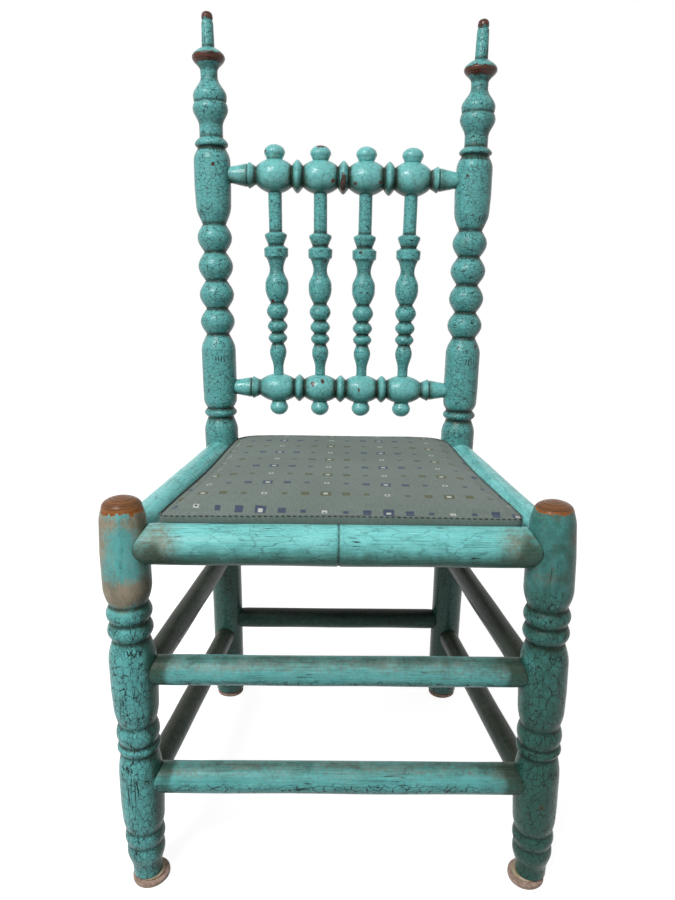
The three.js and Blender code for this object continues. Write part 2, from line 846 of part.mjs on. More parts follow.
function add(name, piece, finish) {
  const mesh = new THREE.Mesh(piece.geometry, new THREE.MeshStandardMaterial(finish));
  mesh.name = name;
  mesh.applyMatrix4(piece.frame);
  chair.add(mesh);
}

/** What is bored out of a leg or post: the mortises of its bars, and the hole for its nail. */
function borings(crossBars, ownBars, crossEnd, ownEnd, foot) {
  const across = Object.values(crossBars).map((made) => made.mortises[crossEnd]);
  const along = Object.values(ownBars).map((made) => made.mortises[ownEnd]);
  return [...across, ...along, foot.bore];
}

const plug = makePlug();
const backRails = { back_top_rail: upperBackRail, back_bottom_rail: lowerBackRail };
const railCutters = [railCutter(frontSeatRail, frontLegs), railCutter(rearSeatRail, rearPosts)];

for (const [crossEnd, name] of Object.keys(sides).entries()) {
  const own = sideBars(name);
  const frontGlide = makeGlide(frontLegs[name].at(0), glide.inset);
  const rearGlide = makeGlide(rearPosts[name].at(0));
  const frontBorings = borings(frontBars, own, crossEnd, 0, frontGlide);
  const rearBorings = borings({ ...rearBars, ...backRails }, own, crossEnd, 1, rearGlide);
  if (name === 'right') frontBorings.push(plug.bore);
  add(`${name}_front_leg`, frontLegs[name].blank().minus(...frontBorings), paint);
  add(`${name}_rear_post`, rearPosts[name].blank().minus(...rearBorings), paint);
  add(`${name}_front_glide_collar`, frontGlide.collar, collarWood);
  add(`${name}_front_glide_felt`, frontGlide.felt, felt);
  add(`${name}_rear_glide_collar`, rearGlide.collar, collarWood);
  add(`${name}_rear_glide_felt`, rearGlide.felt, felt);
  add(`${name}_seat_rail`, jointed(own.seat_rail, ...railCutters), paint);
  add(`${name}_upper_stretcher`, jointed(own.upper_stretcher), paint);
  add(`${name}_lower_stretcher`, jointed(own.lower_stretcher), paint);
}
add('leg_plug', plug.piece, paint);

for (const [name, made] of Object.entries({ ...frontBars, ...rearBars })) {
  add(name, jointed(made), paint);
}

const topBores = [...spindles.map((made) => made.highBore), ...topKnobs.map((made) => made.bore)];
const bottomBores = [
  ...spindles.map((made) => made.lowBore),
  ...bottomKnobs.map((made) => made.bore),
];
add('back_top_rail', jointed(upperBackRail).minus(...topBores), paint);
add('back_bottom_rail', jointed(lowerBackRail).minus(...bottomBores), paint);

for (const index of indices) {
  add(`spindle_${index + 1}`, spindles[index].piece, paint);
  add(`top_knob_${index + 1}`, topKnobs[index].piece, paint);
  add(`bottom_knob_${index + 1}`, bottomKnobs[index].piece, paint);
}

add('seat_board', boardSlab(0, boardLow, boardHigh), boardWood);
add('seat_cushion', makePad(), fabric);

// The origin goes to the floor under the middle of the chair's box

const bounds = new THREE.Box3().setFromObject(chair);
const centre = bounds.getCenter(new THREE.Vector3());
chair.children.forEach((mesh) => mesh.position.sub(new THREE.Vector3(centre.x, centre.y, 0)));

export default chair;
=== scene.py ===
"""Looks of a side chair of turned wood under old crackled turquoise paint, with a thin seat pad.

All shapes are worked out in millimetres in the chair's own frame (+Z up, front towards -Y) and are
written to the meshes in metres.
"""

import logging
import math
from collections.abc import Callable
from dataclasses import dataclass, replace
from enum import Enum
from functools import cached_property, reduce
from inspect import signature

import bpy
import numpy as np
from mathutils import Matrix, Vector
from mathutils.bvhtree import BVHTree


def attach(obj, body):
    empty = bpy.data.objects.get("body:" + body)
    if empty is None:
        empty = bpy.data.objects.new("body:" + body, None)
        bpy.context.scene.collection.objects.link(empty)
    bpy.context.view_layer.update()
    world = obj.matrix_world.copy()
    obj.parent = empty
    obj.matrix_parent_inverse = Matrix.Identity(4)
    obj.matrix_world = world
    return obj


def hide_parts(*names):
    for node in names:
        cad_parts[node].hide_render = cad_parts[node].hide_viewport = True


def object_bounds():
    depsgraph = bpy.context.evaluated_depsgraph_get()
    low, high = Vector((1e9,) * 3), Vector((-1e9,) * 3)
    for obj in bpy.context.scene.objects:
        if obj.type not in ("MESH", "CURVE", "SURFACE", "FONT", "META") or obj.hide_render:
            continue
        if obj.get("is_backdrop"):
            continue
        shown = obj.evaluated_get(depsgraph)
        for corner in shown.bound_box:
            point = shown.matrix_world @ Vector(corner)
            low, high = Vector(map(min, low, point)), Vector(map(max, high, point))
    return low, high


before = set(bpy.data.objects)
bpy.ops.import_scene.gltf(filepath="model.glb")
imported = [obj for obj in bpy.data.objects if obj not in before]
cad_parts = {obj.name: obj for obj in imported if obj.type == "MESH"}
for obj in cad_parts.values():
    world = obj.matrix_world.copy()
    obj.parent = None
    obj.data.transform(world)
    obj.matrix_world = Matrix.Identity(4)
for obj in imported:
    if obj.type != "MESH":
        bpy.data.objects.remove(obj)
CAD_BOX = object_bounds()

MM = 0.001
ALL_ROUND = 400.0  # degrees: so wide a spread that a patch runs round the whole piece
ALL_ALONG = 900.0  # and so long that it runs along the whole of a bar
UP = np.array([0.0, 0.0, 1.0])
FRONT = np.array([0.0, -1.0, 0.0])
log = logging.getLogger("side_chair")

Array = np.ndarray
Material, Object = bpy.types.Material, bpy.types.Object


# Shapes: profiles, turned surfaces and the frames that they stand in

class Run(Enum):
    """How a stretch of a turned profile goes from its start to its end."""

    LINE = "straight"
    BEAD = "bulge or hollow through a middle radius"
    EARLY = "radius changes first, then runs along"
    LATE = "runs along first, then the radius changes"
    SWAY = "eases in and out like an S"
    DOME = "rounds over to a full stop"


LINE, BEAD, EARLY, LATE, SWAY, DOME = Run

# A stretch is its run, the share of the length where it ends, the share of the greatest radius
# there, and for a bead the share at its middle.
Stretch = tuple[Run, *tuple[float, ...]]

FRONT_LEG_SHARES: list[Stretch] = [
    (LINE, 0.0197, 0.656), (SWAY, 0.0712, 0.84), (LATE, 0.0924, 0.785), (BEAD, 0.1352, 0.792, 0.88),
    (EARLY, 0.1714, 0.911), (LINE, 0.2056, 0.944), (LINE, 0.2923, 0.951), (LATE, 0.3558, 0.79),
    (BEAD, 0.3826, 0.82, 0.935), (BEAD, 0.4349, 0.81, 0.93), (EARLY, 0.485, 0.962),
    (LINE, 0.5305, 0.995), (LINE, 0.6016, 0.995), (LATE, 0.6577, 0.765), (BEAD, 0.7017, 0.8, 0.955),
    (BEAD, 0.7449, 0.79, 0.955), (EARLY, 0.7911, 1.0), (LINE, 0.871, 0.993),
    (LINE, 0.9397, 0.933), (LATE, 0.9771, 0.802), (DOME, 1.0, 0.0),
]
REAR_POST_SHARES: list[Stretch] = [
    (LINE, 0.1517, 0.892), (LINE, 0.43, 0.974), (LATE, 0.4513, 0.735), (BEAD, 0.465, 0.75, 0.945),
    (EARLY, 0.4775, 0.963), (LINE, 0.5, 0.985), (LINE, 0.5495, 0.985), (LATE, 0.5741, 0.632),
    (BEAD, 0.6106, 0.596, 0.97), (BEAD, 0.65, 0.596, 0.97), (BEAD, 0.6898, 0.6, 0.974),
    (BEAD, 0.7277, 0.64, 0.964), (EARLY, 0.7545, 0.97), (LINE, 0.7781, 1.0), (LINE, 0.812, 0.989),
    (LATE, 0.8293, 0.72), (LINE, 0.8308, 0.86), (LINE, 0.833, 0.9), (LATE, 0.8425, 0.628),
    (LINE, 0.8575, 0.632), (SWAY, 0.8794, 0.952), (LINE, 0.884, 0.915), (LINE, 0.8872, 0.835),
    (LINE, 0.889, 0.88), (LINE, 0.8945, 0.907), (SWAY, 0.919, 0.455), (LINE, 0.927, 0.465),
    (SWAY, 0.9431, 0.885), (LATE, 0.9555, 0.36), (LINE, 0.9566, 0.341), (LINE, 0.9858, 0.318),
    (LINE, 0.9888, 0.265), (LINE, 0.991, 0.31), (LINE, 0.9945, 0.295), (DOME, 1.0, 0.0),
]
SPINDLE_SHARES: list[Stretch] = [
    (LINE, 0.04, 0.434), (SWAY, 0.13, 0.706), (LATE, 0.179, 0.485), (BEAD, 0.241, 0.49, 0.787),
    (BEAD, 0.3134, 0.49, 0.826), (BEAD, 0.4093, 0.53, 0.875), (EARLY, 0.4904, 0.954),
    (LINE, 0.5154, 0.95), (SWAY, 0.5956, 0.568), (LATE, 0.656, 0.795), (LINE, 0.6657, 0.974),
    (LINE, 0.7103, 1.0), (LINE, 0.7266, 0.625), (LINE, 0.7726, 0.91), (LINE, 0.786, 0.91),
    (LINE, 0.7995, 0.54), (LINE, 1.0, 0.54),
]
KNOB_SHARES: list[Stretch] = [(EARLY, 0.39, 1.0), (DOME, 1.0, 0.0)]

# How much lower the turnings of the right rear post stand: share of its length, drop.
RIGHT_POST_DROP_SHARES = [
    (0.4, 0.0), (0.43, 0.0006), (0.66, 0.0013), (0.725, 0.0035), (0.76, 0.0047), (0.83, 0.0052),
    (0.845, 0.008), (0.92, 0.0083), (0.943, 0.0098), (0.957, 0.0092), (0.985, 0.0033),
    (1.0, 0.0033),
]


def unit(vectors: Array) -> Array:
    """A vector, or each of many, at length one."""
    return vectors / np.linalg.norm(vectors, axis=-1, keepdims=True)


def smooth_step(low: float, high: float, value: Array) -> Array:
    """Zero below low, one above high, and 3t^2 - 2t^3 of the share t between them."""
    share = np.clip((value - low) / (high - low), 0, 1)
    return share * share * (3 - 2 * share)


def run_points(run: Run, start: Array, end: Array, middle: float,
               step: float) -> Array:
    """Points of one stretch of a profile.

    At a share t of the run, the share of the change of radius is t on a straight run and a bead,
    sin(pi t / 2) on an early one, 1 - cos(pi t / 2) on a late one, (1 - cos(pi t)) / 2 on a sway and
    1 - sqrt(1 - t^2) on a dome. A bead adds a half sine wave.

    Args:
        run: how it goes.
        start: (radius, height) where it starts.
        end: (radius, height) where it ends.
        middle: the radius at the middle of a bead.
        step: greatest spacing.

    Returns:
        Rows of (radius, height), without the start.
    """
    count = max(2, math.ceil(np.abs(end - start).sum() / step))
    if run is BEAD:
        count = max(count, math.ceil(2 * abs(middle - start[0]) / step) + 6)
    share = np.linspace(0, 1, count + 1)[1:]
    if run is DOME:
        share = np.sin(share * np.pi / 2)
    changed = {
        EARLY: np.sin(share * np.pi / 2), LATE: 1 - np.cos(share * np.pi / 2),
        SWAY: (1 - np.cos(share * np.pi)) / 2, DOME: 1 - np.sqrt(np.maximum(1 - share ** 2, 0)),
    }.get(run, share)
    points = start + (end - start) * np.stack([changed, share], axis=1)
    if run is BEAD:
        points[:, 0] += (middle - (start[0] + end[0]) / 2) * np.sin(np.pi * share)
    return points


def profile(rows: list[Stretch], foot_share: float, radius: float, low: float, high: float,
            step: float) -> Array:
    """A turned profile from a table of shares.

    Args:
        rows: the stretches, from the foot up.
        foot_share: share of the radius at the foot.
        radius: greatest radius.
        low: height of the foot.
        high: height of the tip.
        step: greatest spacing of the points.

    Returns:
        Rows of (radius, height).
    """
    points = [np.array([[foot_share * radius, low]])]
    for row in rows:
        start = points[-1][-1]
        end = np.array([row[2] * radius, low + row[1] * (high - low)])
        middle = row[3] * radius if row[0] is BEAD else 0.0
        points.append(run_points(row[0], start, end, middle, step))
    return np.concatenate(points)


def lowered(rows: list[Stretch], drops: list[tuple[float, float]]) -> list[Stretch]:
    """A table of stretches whose ends stand lower.

    Args:
        rows: the stretches.
        drops: rows of (share of the length, how much lower), read straight between them.

    Returns:
        The moved stretches.
    """
    places, falls = zip(*drops)
    return [(run, share - float(np.interp(share, places, falls)), *radii)
            for run, share, *radii in rows]


def lengths(points: Array) -> Array:
    """The distance along a flat line to each of its points."""
    return np.concatenate([[0], np.cumsum(np.hypot(*np.diff(points, axis=0).T))])


def read_line(places: Array, length: Array, points: Array) -> Array:
    """The points at some distances along a flat line, as rows of two."""
    return np.stack([np.interp(places, length, points[:, i]) for i in (0, 1)], axis=-1)


def even(points: Array, step: float) -> Array:
    """The same line with points at even distances along it.

    Args:
        points: of the line, flat.
        step: about the distance from point to point.

    Returns:
        The new points, eight or more.
    """
    length = lengths(points)
    keep = np.concatenate([[True], np.diff(length) > 0])
    places = np.linspace(0, length[-1], max(8, round(length[-1] / step)))
    return read_line(places, length[keep], points[keep])


def running_mean(values: Array, spread: float) -> Array:
    """Values along a line blurred by a bell curve.

    Args:
        values: one for each point of the line; those at its ends are held beyond it.
        spread: of the bell, in points.

    Returns:
        The blurred values.
    """
    reach = max(1, math.ceil(3 * spread))
    bell = np.exp(-0.5 * (np.arange(-reach, reach + 1) / spread) ** 2)
    padded = np.pad(values, reach, mode="edge")
    return np.convolve(padded, bell / bell.sum(), mode="valid")


def softened(points: Array, step: float, edge: float) -> Array:
    """A profile whose corners are worn round.

    Args:
        points: rows of (radius, height).
        step: spacing of the result.
        edge: size of the rounding, mm.

    Returns:
        Rows of (radius, height) at even spacing, with the first and last point kept.
    """
    line = even(points, step)
    worn = np.stack([running_mean(line[:, i], edge / step) for i in (0, 1)], axis=1)
    worn[0], worn[-1] = line[0], line[-1]
    return worn


def capped(points: Array, rings: int = 4) -> Array:
    """A profile closed onto the axis at both ends by flat faces.

    Args:
        points: rows of (radius, height).
        rings: number of rings of such a face.

    Returns:
        Rows of (radius, height).
    """
    shares = np.linspace(0, 1, rings, endpoint=False)[:, None]
    first, last = ((points[end] * (1, 0) * way + points[end] * (0, 1))[:rings * (points[end, 0] > 0)]
                   for end, way in ((0, shares), (-1, shares[::-1])))
    line = np.concatenate([first, points, last])
    line[0, 0] = line[-1, 0] = 0
    return line


@dataclass(frozen=True)
class Axis:
    """A line that a piece is turned about, with the direction that its angle zero faces."""

    start: Array
    end: Array
    facing: Array

    @property
    def length(self) -> float:
        """Distance from start to end."""
        return float(np.linalg.norm(self.end - self.start))

    @property
    def turn(self) -> Array:
        """Rows are the local X (the facing), Y and Z (along the line) in the chair's frame."""
        along = unit(self.end - self.start)
        out = unit(self.facing - along * (self.facing @ along))
        return np.stack([out, np.cross(along, out), along])

    def at(self, distance: float) -> Array:
        """The point at a distance from the start."""
        return self.start + unit(self.end - self.start) * distance

    def place(self, local: Array) -> Array:
        """Points of the local frame moved to the chair's frame."""
        return self.start + local @ self.turn


def degrees_from(start: float, angle: Array) -> Array:
    """How far each angle, in radians, lies from a start in degrees, from -180 to 180."""
    return (np.degrees(angle) - start + 180) % 360 - 180


@dataclass(frozen=True)
class Patch:
    """A soft-edged place on a turned piece, for wear that was put there by hands and feet, and for
    painted shade.
    """

    height: float  # along the axis; on a bar, as a share of its length
    length: float
    angle: float = 0.0  # degrees round the axis from its facing
    spread: float = ALL_ROUND  # degrees to each side
    strength: float = 1.0

    def weight(self, height: Array, angle: Array) -> Array:
        """Strength times a bell along the axis times a bell round it."""
        apart = degrees_from(self.angle, angle)
        return self.strength * np.exp(-(((height - self.height) / self.length) ** 2)
                                      - (apart / self.spread) ** 2)


@dataclass(frozen=True)
class Notch:
    """The middle of a group of knife cuts on a turned piece."""

    height: float
    angle: float  # degrees round the axis from its facing

    def offset(self, height: Array, angle: Array, radius: Array) -> Array:
        """Distances from the middle round the piece and along it, in metres."""
        aside = np.abs(np.radians(degrees_from(self.angle, angle))) * radius
        return np.stack([aside, np.abs(height - self.height)], axis=-1) * MM


@dataclass(frozen=True)
class Wear:
    """What use has done to a turned piece, and the shade painted on it."""

    worn: tuple[Patch, ...] = ()  # paint rubbed thin
    bare: tuple[Patch, ...] = ()  # down to clean wood
    chips: tuple[Patch, ...] = ()
    # dirt, and painted shade on undersides, on the sides away from the lamp and in necks
    dirty: tuple[Patch, ...] = ()
    notches: tuple[Notch, ...] = ()

    def along(self, scale: float, start: float = 0.0) -> "Wear":
        """The same wear with the heights of its patches scaled and then moved."""
        kinds = {key: tuple(replace(patch, height=patch.height * scale + start) for patch in rows)
                 for key, rows in self.patches().items()}
        return replace(self, **kinds)

    def patches(self) -> dict[str, tuple[Patch, ...]]:
        """The patches of each kind."""
        return {"worn": self.worn, "bare": self.bare, "chips": self.chips, "dirty": self.dirty}


@dataclass(frozen=True)
class Cope:
    """The hollow shoulder of a bar: a height on its axis where it meets a round of some radius."""

    height: float
    radius: float
    way: int  # 1 where the bar runs away from the round with growing height, -1 at its far end
    ball: bool = False
    reach: float = 9.0

    def shift(self, radius: Array, angle: Array, height: Array) -> Array:
        """How far each point moves along the axis.

        A chord at distance h from the axis of a round of radius R lies R - sqrt(R^2 - h^2) below its
        crest. Here h is the sideways part of the point's radius, or all of it on a ball. The move
        fades with the distance from the shoulder.

        Args:
            radius: of each point.
            angle: of each point round the axis, in radians.
            height: of each point along the axis.

        Returns:
            The moves.
        """
        aside = radius if self.ball else radius * np.abs(np.sin(angle))
        drop = self.radius - np.sqrt(np.maximum(self.radius ** 2 - aside ** 2, 0))
        fade = 1 - smooth_step(0, self.reach, self.way * (height - self.height))
        return -self.way * drop * fade


@dataclass
class Turning:
    """A turned piece: a profile spun about an axis, with hand-made unevenness, wear marks and painted
    shade.

    Its surface is the point at angle a and row i: radius_i times (cos a, sin a) across the axis and
    height_i along it, each radius changed a little by a few slow waves over angle and height.
    """

    name: str
    outline: Array
    axis: Axis
    columns: int = 64
    step: float = 1.0
    edge: float = 0.7
    uneven: float = 0.22
    copes: tuple[Cope, ...] = ()
    wear: Wear = Wear()
    floor: float = -math.inf  # height in the frame that it is cut off at

    hollow_spread: float = 3.2  # how far round a groove its shade reaches
    hollow_depth: float = 1.6  # that of a groove in full shade
    cavity_depth: float = 0.65  # that of a groove full of dirt and painted shade
    rim_height: float = 1.1  # that of an edge worn in full
    no_notch: float = 0.05  # a distance, in metres, at which a notch no longer shows
    hollow_blur: float = 3.5  # of that shade's edge

    def grids(self) -> dict[str, Array]:
        """The surface and what its paint has to know about it.

        Returns:
            The points in the frame, places for the paint's noises and for the rings of its wood,
            then masks: grooves for dirt and painted shade, wider hollows for dust and painted shade,
            edges, each kind of wear and of painted shade, and the distances to the nearest notch.
            Each is an array of rows by columns.
        """
        line = capped(softened(self.outline, self.step, self.edge))
        angle = np.linspace(0, 2 * np.pi, self.columns, endpoint=False)[None, :]
        radius, height = line[:, :1] + 0 * angle, line[:, 1:] + 0 * angle
        angle = angle + 0 * radius
        dice = np.random.default_rng(sum(map(ord, self.name)) * 7919)
        wave = np.zeros_like(radius)
        for turns in (1, 2, 2, 3):
            wave += np.sin(turns * angle + height / dice.uniform(14, 60) + dice.uniform(0, 6.28))
        shaped = radius + self.uneven * wave / 2 * np.minimum(radius / 6, 1)
        along = sum((cope.shift(shaped, angle, height) for cope in self.copes), height)
        local = np.stack([shaped * np.cos(angle), shaped * np.sin(angle), along], axis=-1)
        points = self.axis.place(local)
        points[..., 2] = np.maximum(points[..., 2], self.floor)
        cuts = np.full((*radius.shape, 3), self.no_notch)
        for notch in self.wear.notches:
            near = notch.offset(height, angle, radius)
            closer = near.max(axis=-1) < cuts[..., :2].max(axis=-1)
            cuts[closer, :2] = near[closer]
        below = running_mean(line[:, 0], self.hollow_spread / self.step) - line[:, 0]
        wide = running_mean(np.clip(below / self.hollow_depth, 0, 1), self.hollow_blur / self.step)
        worn, bare, chip, dirty = (sum((patch.weight(height, angle) for patch in rows), 0 * angle)
                                   for rows in self.wear.patches().values())
        return {
            "points": points,
            "turning": local * MM + dice.uniform(-4, 4, 3),
            "lathe": local * MM,
            "cavity": np.clip(below / self.cavity_depth, 0, 1)[:, None] + 0 * angle,
            "hollow": np.clip(2 * wide, 0, 1)[:, None] + 0 * angle,
            "rim": np.clip(-below / self.rim_height, 0, 1)[:, None] + 0 * angle,
            "worn": worn,
            "bare": bare,
            "chip": chip,
            "dirty": dirty,
            "notch": np.minimum(cuts, self.no_notch),
        }

    def build(self, material: Material, slot: str = "turquoise_paint") -> None:
        """Makes the piece in place of the node that its name begins with."""
        made = closed_tube(self.name, self.grids())
        hand_over(made, material, slot, (self.name.rpartition("_")[0],))


def closed_tube(name: str, grids: dict[str, Array]) -> Object:
    """A mesh from a grid that wraps round in its columns and closes to a point at each end.

    Args:
        name: the object's name.
        grids: "points" as rows x columns x 3 in mm, and marks of the same rows and columns.

    Returns:
        The new object, smooth shaded, with the marks as point attributes.
    """
    rows, columns = grids["points"].shape[:2]
    inner = slice(1, rows - 1)

    def flat(grid: Array) -> Array:
        """The grid's rows one after another, and the means of its first and last."""
        middle = grid[inner].reshape((rows - 2) * columns, -1)
        poles = [grid[end].reshape(columns, -1).mean(axis=0, keepdims=True) for end in (0, -1)]
        return np.concatenate([middle, *poles])

    place = np.arange((rows - 2) * columns).reshape(rows - 2, columns)
    after = np.roll(place, -1, axis=1)
    quads = np.stack([place[:-1], after[:-1], after[1:], place[1:]], axis=-1).reshape(-1, 4)
    low, high = (rows - 2) * columns, (rows - 2) * columns + 1
    bottom = np.stack([after[0], place[0], np.full(columns, low)], axis=-1)
    top = np.stack([place[-1], after[-1], np.full(columns, high)], axis=-1)
    mesh = mesh_of(name, flat(grids["points"]) * MM, [quads, bottom, top])
    for key, grid in grids.items():
        if key != "points":
            write_mark(mesh, key, flat(grid))
    return link(name, mesh)


def mesh_of(name: str, points: Array, faces: list[Array]) -> bpy.types.Mesh:
    """A smooth mesh.

    Args:
        name: the mesh's name.
        points: rows of (x, y, z) in metres.
        faces: arrays of point numbers, each with faces of one size as its rows.

    Returns:
        The mesh.
    """
    mesh = bpy.data.meshes.new(name)
    sizes = np.concatenate([np.full(len(f), f.shape[1]) for f in faces])
    corners = np.concatenate([f.ravel() for f in faces]).astype(np.int32)
    mesh.vertices.add(len(points))
    mesh.vertices.foreach_set("co", points.astype(np.float32).ravel())
    mesh.loops.add(len(corners))
    mesh.loops.foreach_set("vertex_index", corners)
    mesh.polygons.add(len(sizes))
    starts = np.concatenate([[0], np.cumsum(sizes)[:-1]]).astype(np.int32)
    mesh.polygons.foreach_set("loop_start", starts)
    mesh.polygons.foreach_set("use_smooth", np.ones(len(sizes), bool))
    mesh.update(calc_edges=True)
    mesh.validate()
    return mesh


def write_mark(mesh: bpy.types.Mesh, key: str, values: Array) -> None:
    """Stores numbers or vectors on the mesh's points."""
    vector = values.ndim == 2 and values.shape[1] == 3
    mark = mesh.attributes.new(key, "FLOAT_VECTOR" if vector else "FLOAT", "POINT")
    mark.data.foreach_set("vector" if vector else "value", values.astype(np.float32).ravel())


def link(name: str, mesh: bpy.types.Mesh) -> Object:
    """An object at the origin that holds the mesh."""
    made = bpy.data.objects.new(name, mesh)
    bpy.context.scene.collection.objects.link(made)
    return made


def hand_over(made: Object, material: Material, slot: str,
              stands_for: tuple[str, ...] = ()) -> None:
    """Gives a piece its material and its place in the frame.

    Args:
        made: the piece.
        material: its finish.
        slot: its material slot; not used.
        stands_for: the nodes that it replaces.
    """
    made.data.materials.append(material)
    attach(made, "root")
    if stands_for:
        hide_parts(*stands_for)
    log.info("%s: %d faces", made.name, len(made.data.polygons))


# Node trees

Colour = tuple[float, float, float, float]


def srgb(red: int, green: int, blue: int) -> Colour:
    """The linear colour of three display values from 0 to 255."""
    share = np.array([red, green, blue]) / 255
    linear = np.where(share <= 0.04045, share / 12.92, ((share + 0.055) / 1.055) ** 2.4)
    return (*map(float, linear), 1.0)


def node_sum(operation: str, swapped: bool = False) -> Callable[["Value", "Source"], "Value"]:
    """The method behind an arithmetic sign.

    Args:
        operation: of the Math node that it adds.
        swapped: whether the value comes second.

    Returns:
        The method.
    """
    def apply(value: "Value", other: "Source") -> "Value":
        """What the node gives."""
        return value.graph.math(operation, *((other, value) if swapped else (value, other)))

    return apply


@dataclass(frozen=True, eq=False)
class Value:
    """What a node gives: a number that sums can be written with, or a vector or colour."""

    graph: "Graph"
    socket: bpy.types.NodeSocket

    __add__ = __radd__ = node_sum("ADD")
    __mul__ = __rmul__ = node_sum("MULTIPLY")
    __sub__, __rsub__ = node_sum("SUBTRACT"), node_sum("SUBTRACT", swapped=True)
    __truediv__, __rtruediv__ = node_sum("DIVIDE"), node_sum("DIVIDE", swapped=True)


Source = Value | float | tuple
Drawn = dict[str, Value]


@dataclass
class Graph:
    """A node tree with short ways to add the nodes that the finishes use."""

    tree: bpy.types.NodeTree

    def node(self, kind: str, inputs: dict, **settings: object) -> bpy.types.Node:
        """Adds a node.

        Args:
            kind: its type.
            inputs: what its inputs get, by name or number.
            settings: its options.

        Returns:
            The node.
        """
        made = self.tree.nodes.new(kind)
        for key, value in settings.items():
            setattr(made, key, value)
        for key, value in inputs.items():
            self.feed(made, key, value)
        return made

    def feed(self, made: bpy.types.Node, key: str | int, value: Source) -> None:
        """Links or sets one input of a node."""
        if isinstance(value, Value):
            self.tree.links.new(value.socket, made.inputs[key])
        else:
            made.inputs[key].default_value = value

    def take(self, kind: str, inputs: dict, output: int | str = 0, **settings: object) -> Value:
        """Adds a node and takes one of its outputs."""
        return Value(self, self.node(kind, inputs, **settings).outputs[output])

    def math(self, operation: str, *values: Source, clamp: bool = False) -> Value:
        """One sum on numbers."""
        return self.take("ShaderNodeMath", dict(enumerate(values)), operation=operation,
                         use_clamp=clamp)

    def most(self, *values: Source) -> Value:
        """The greatest of two or more numbers."""
        return reduce(lambda one, other: self.math("MAXIMUM", one, other), values)

    def vector(self, operation: str, *values: Source) -> Value:
        """One sum on vectors; SCALE takes a vector and a number."""
        keys = (0, "Scale") if operation == "SCALE" else range(len(values))
        output = "Value" if operation == "LENGTH" else "Vector"
        return self.take("ShaderNodeVectorMath", dict(zip(keys, values)), output,
                         operation=operation)

    def squeezed(self, place: Value, along: float, across: float = 1.0) -> Value:
        """A place on a turned piece, scaled along its axis and across it."""
        return self.vector("MULTIPLY", place, (across, across, along))

    def parts(self, vector: Value) -> list[Value]:
        """The three numbers of a vector."""
        made = self.node("ShaderNodeSeparateXYZ", {0: vector})
        return [Value(self, socket) for socket in made.outputs]

    def mix(self, share: Source, low: Source, high: Source, way: str = "MIX") -> Value:
        """Blends two colours."""
        return self.take("ShaderNodeMix", {0: share, 6: low, 7: high}, 2, data_type="RGBA",
                         blend_type=way, clamp_factor=True)

    def blend(self, share: Source, low: Source, high: Source) -> Value:
        """Blends two numbers."""
        return self.take("ShaderNodeMix", {0: share, 2: low, 3: high}, data_type="FLOAT")

    def ease(self, value: Source, low: Source, high: Source, start: Source = 0.0,
             end: Source = 1.0) -> Value:
        """Goes smoothly from start to end while the value goes from low to high."""
        return self.take("ShaderNodeMapRange", {0: value, 1: low, 2: high, 3: start, 4: end},
                         interpolation_type="SMOOTHSTEP")

    def fade(self, value: Source, low: Source, high: Source, end: float = 0.0) -> Value:
        """Goes smoothly down from one while the value goes from low to high."""
        return self.ease(value, low, high, 1.0, end)

    def noise(self, place: Source, scale: Source, detail: float = 2.0, rough: float = 0.5,
              colour: bool = False) -> Value:
        """Fractal noise about 0.5, or three of them as a colour."""
        inputs = {"Vector": place, "Scale": scale, "Detail": detail, "Roughness": rough}
        return self.take("ShaderNodeTexNoise", inputs, "Color" if colour else 0)

    def sway(self, place: Source, scale: Source, gain: float, detail: float = 2.0,
             rough: float = 0.5) -> Value:
        """Fractal noise about zero, times a gain."""
        return (self.noise(place, scale, detail, rough) - 0.5) * gain

    def drift(self, place: Source, scale: float, detail: float, rough: float,
              gain: Source) -> Value:
        """A vector of three fractal noises about zero, times a gain."""
        noises = self.noise(place, scale, detail, rough, colour=True)
        return self.vector("SCALE", self.vector("SUBTRACT", noises, (0.5, 0.5, 0.5)), gain)

    def mark(self, key: str, vector: bool = False) -> Value:
        """A mark that the mesh carries on its points."""
        return self.take("ShaderNodeAttribute", {}, "Vector" if vector else "Fac",
                         attribute_name=key)

    def own_place(self) -> Value:
        """Object coordinates."""
        return self.take("ShaderNodeTexCoord", {}, "Object")

    def bump(self, height: Value, distance: float, strength: float) -> Value:
        """A normal tilted by a height."""
        return self.take("ShaderNodeBump", {"Strength": strength, "Distance": distance,
                                            "Height": height})

    def group(self, effect: "Effect", **inputs: Source) -> Drawn:
        """Places an effect and gives its outputs by name."""
        made = self.node("ShaderNodeGroup", {}, node_tree=effect.tree)
        for key, value in inputs.items():
            self.feed(made, key.title(), value)
        return {socket.name: Value(self, socket) for socket in made.outputs}


@dataclass
class Effect:
    """A shader node group, drawn once, when a material first places it.

    The drawing function takes the group's graph and its inputs, and returns its outputs by name. Its
    parameters name the inputs: one with a default is a number, and one without is a vector.
    """

    draw: Callable[..., Drawn]

    @cached_property
    def tree(self) -> bpy.types.NodeTree:
        """The group."""
        tree = bpy.data.node_groups.new(self.draw.__name__, "ShaderNodeTree")
        inputs = list(signature(self.draw).parameters.values())[1:]
        for row in inputs:
            number = row.default is not row.empty
            socket = tree.interface.new_socket(row.name.title(), in_out="INPUT", socket_type=(
                "NodeSocketFloat" if number else "NodeSocketVector"))
            if number:
                socket.default_value = row.default
        graph = Graph(tree)
        source = graph.node("NodeGroupInput", {})
        drawn = self.draw(graph, *(Value(graph, source.outputs[row.name.title()])
                                   for row in inputs))
        for key in drawn:
            tree.interface.new_socket(key, in_out="OUTPUT", socket_type="NodeSocketFloat")
        graph.node("NodeGroupOutput", drawn)
        return tree


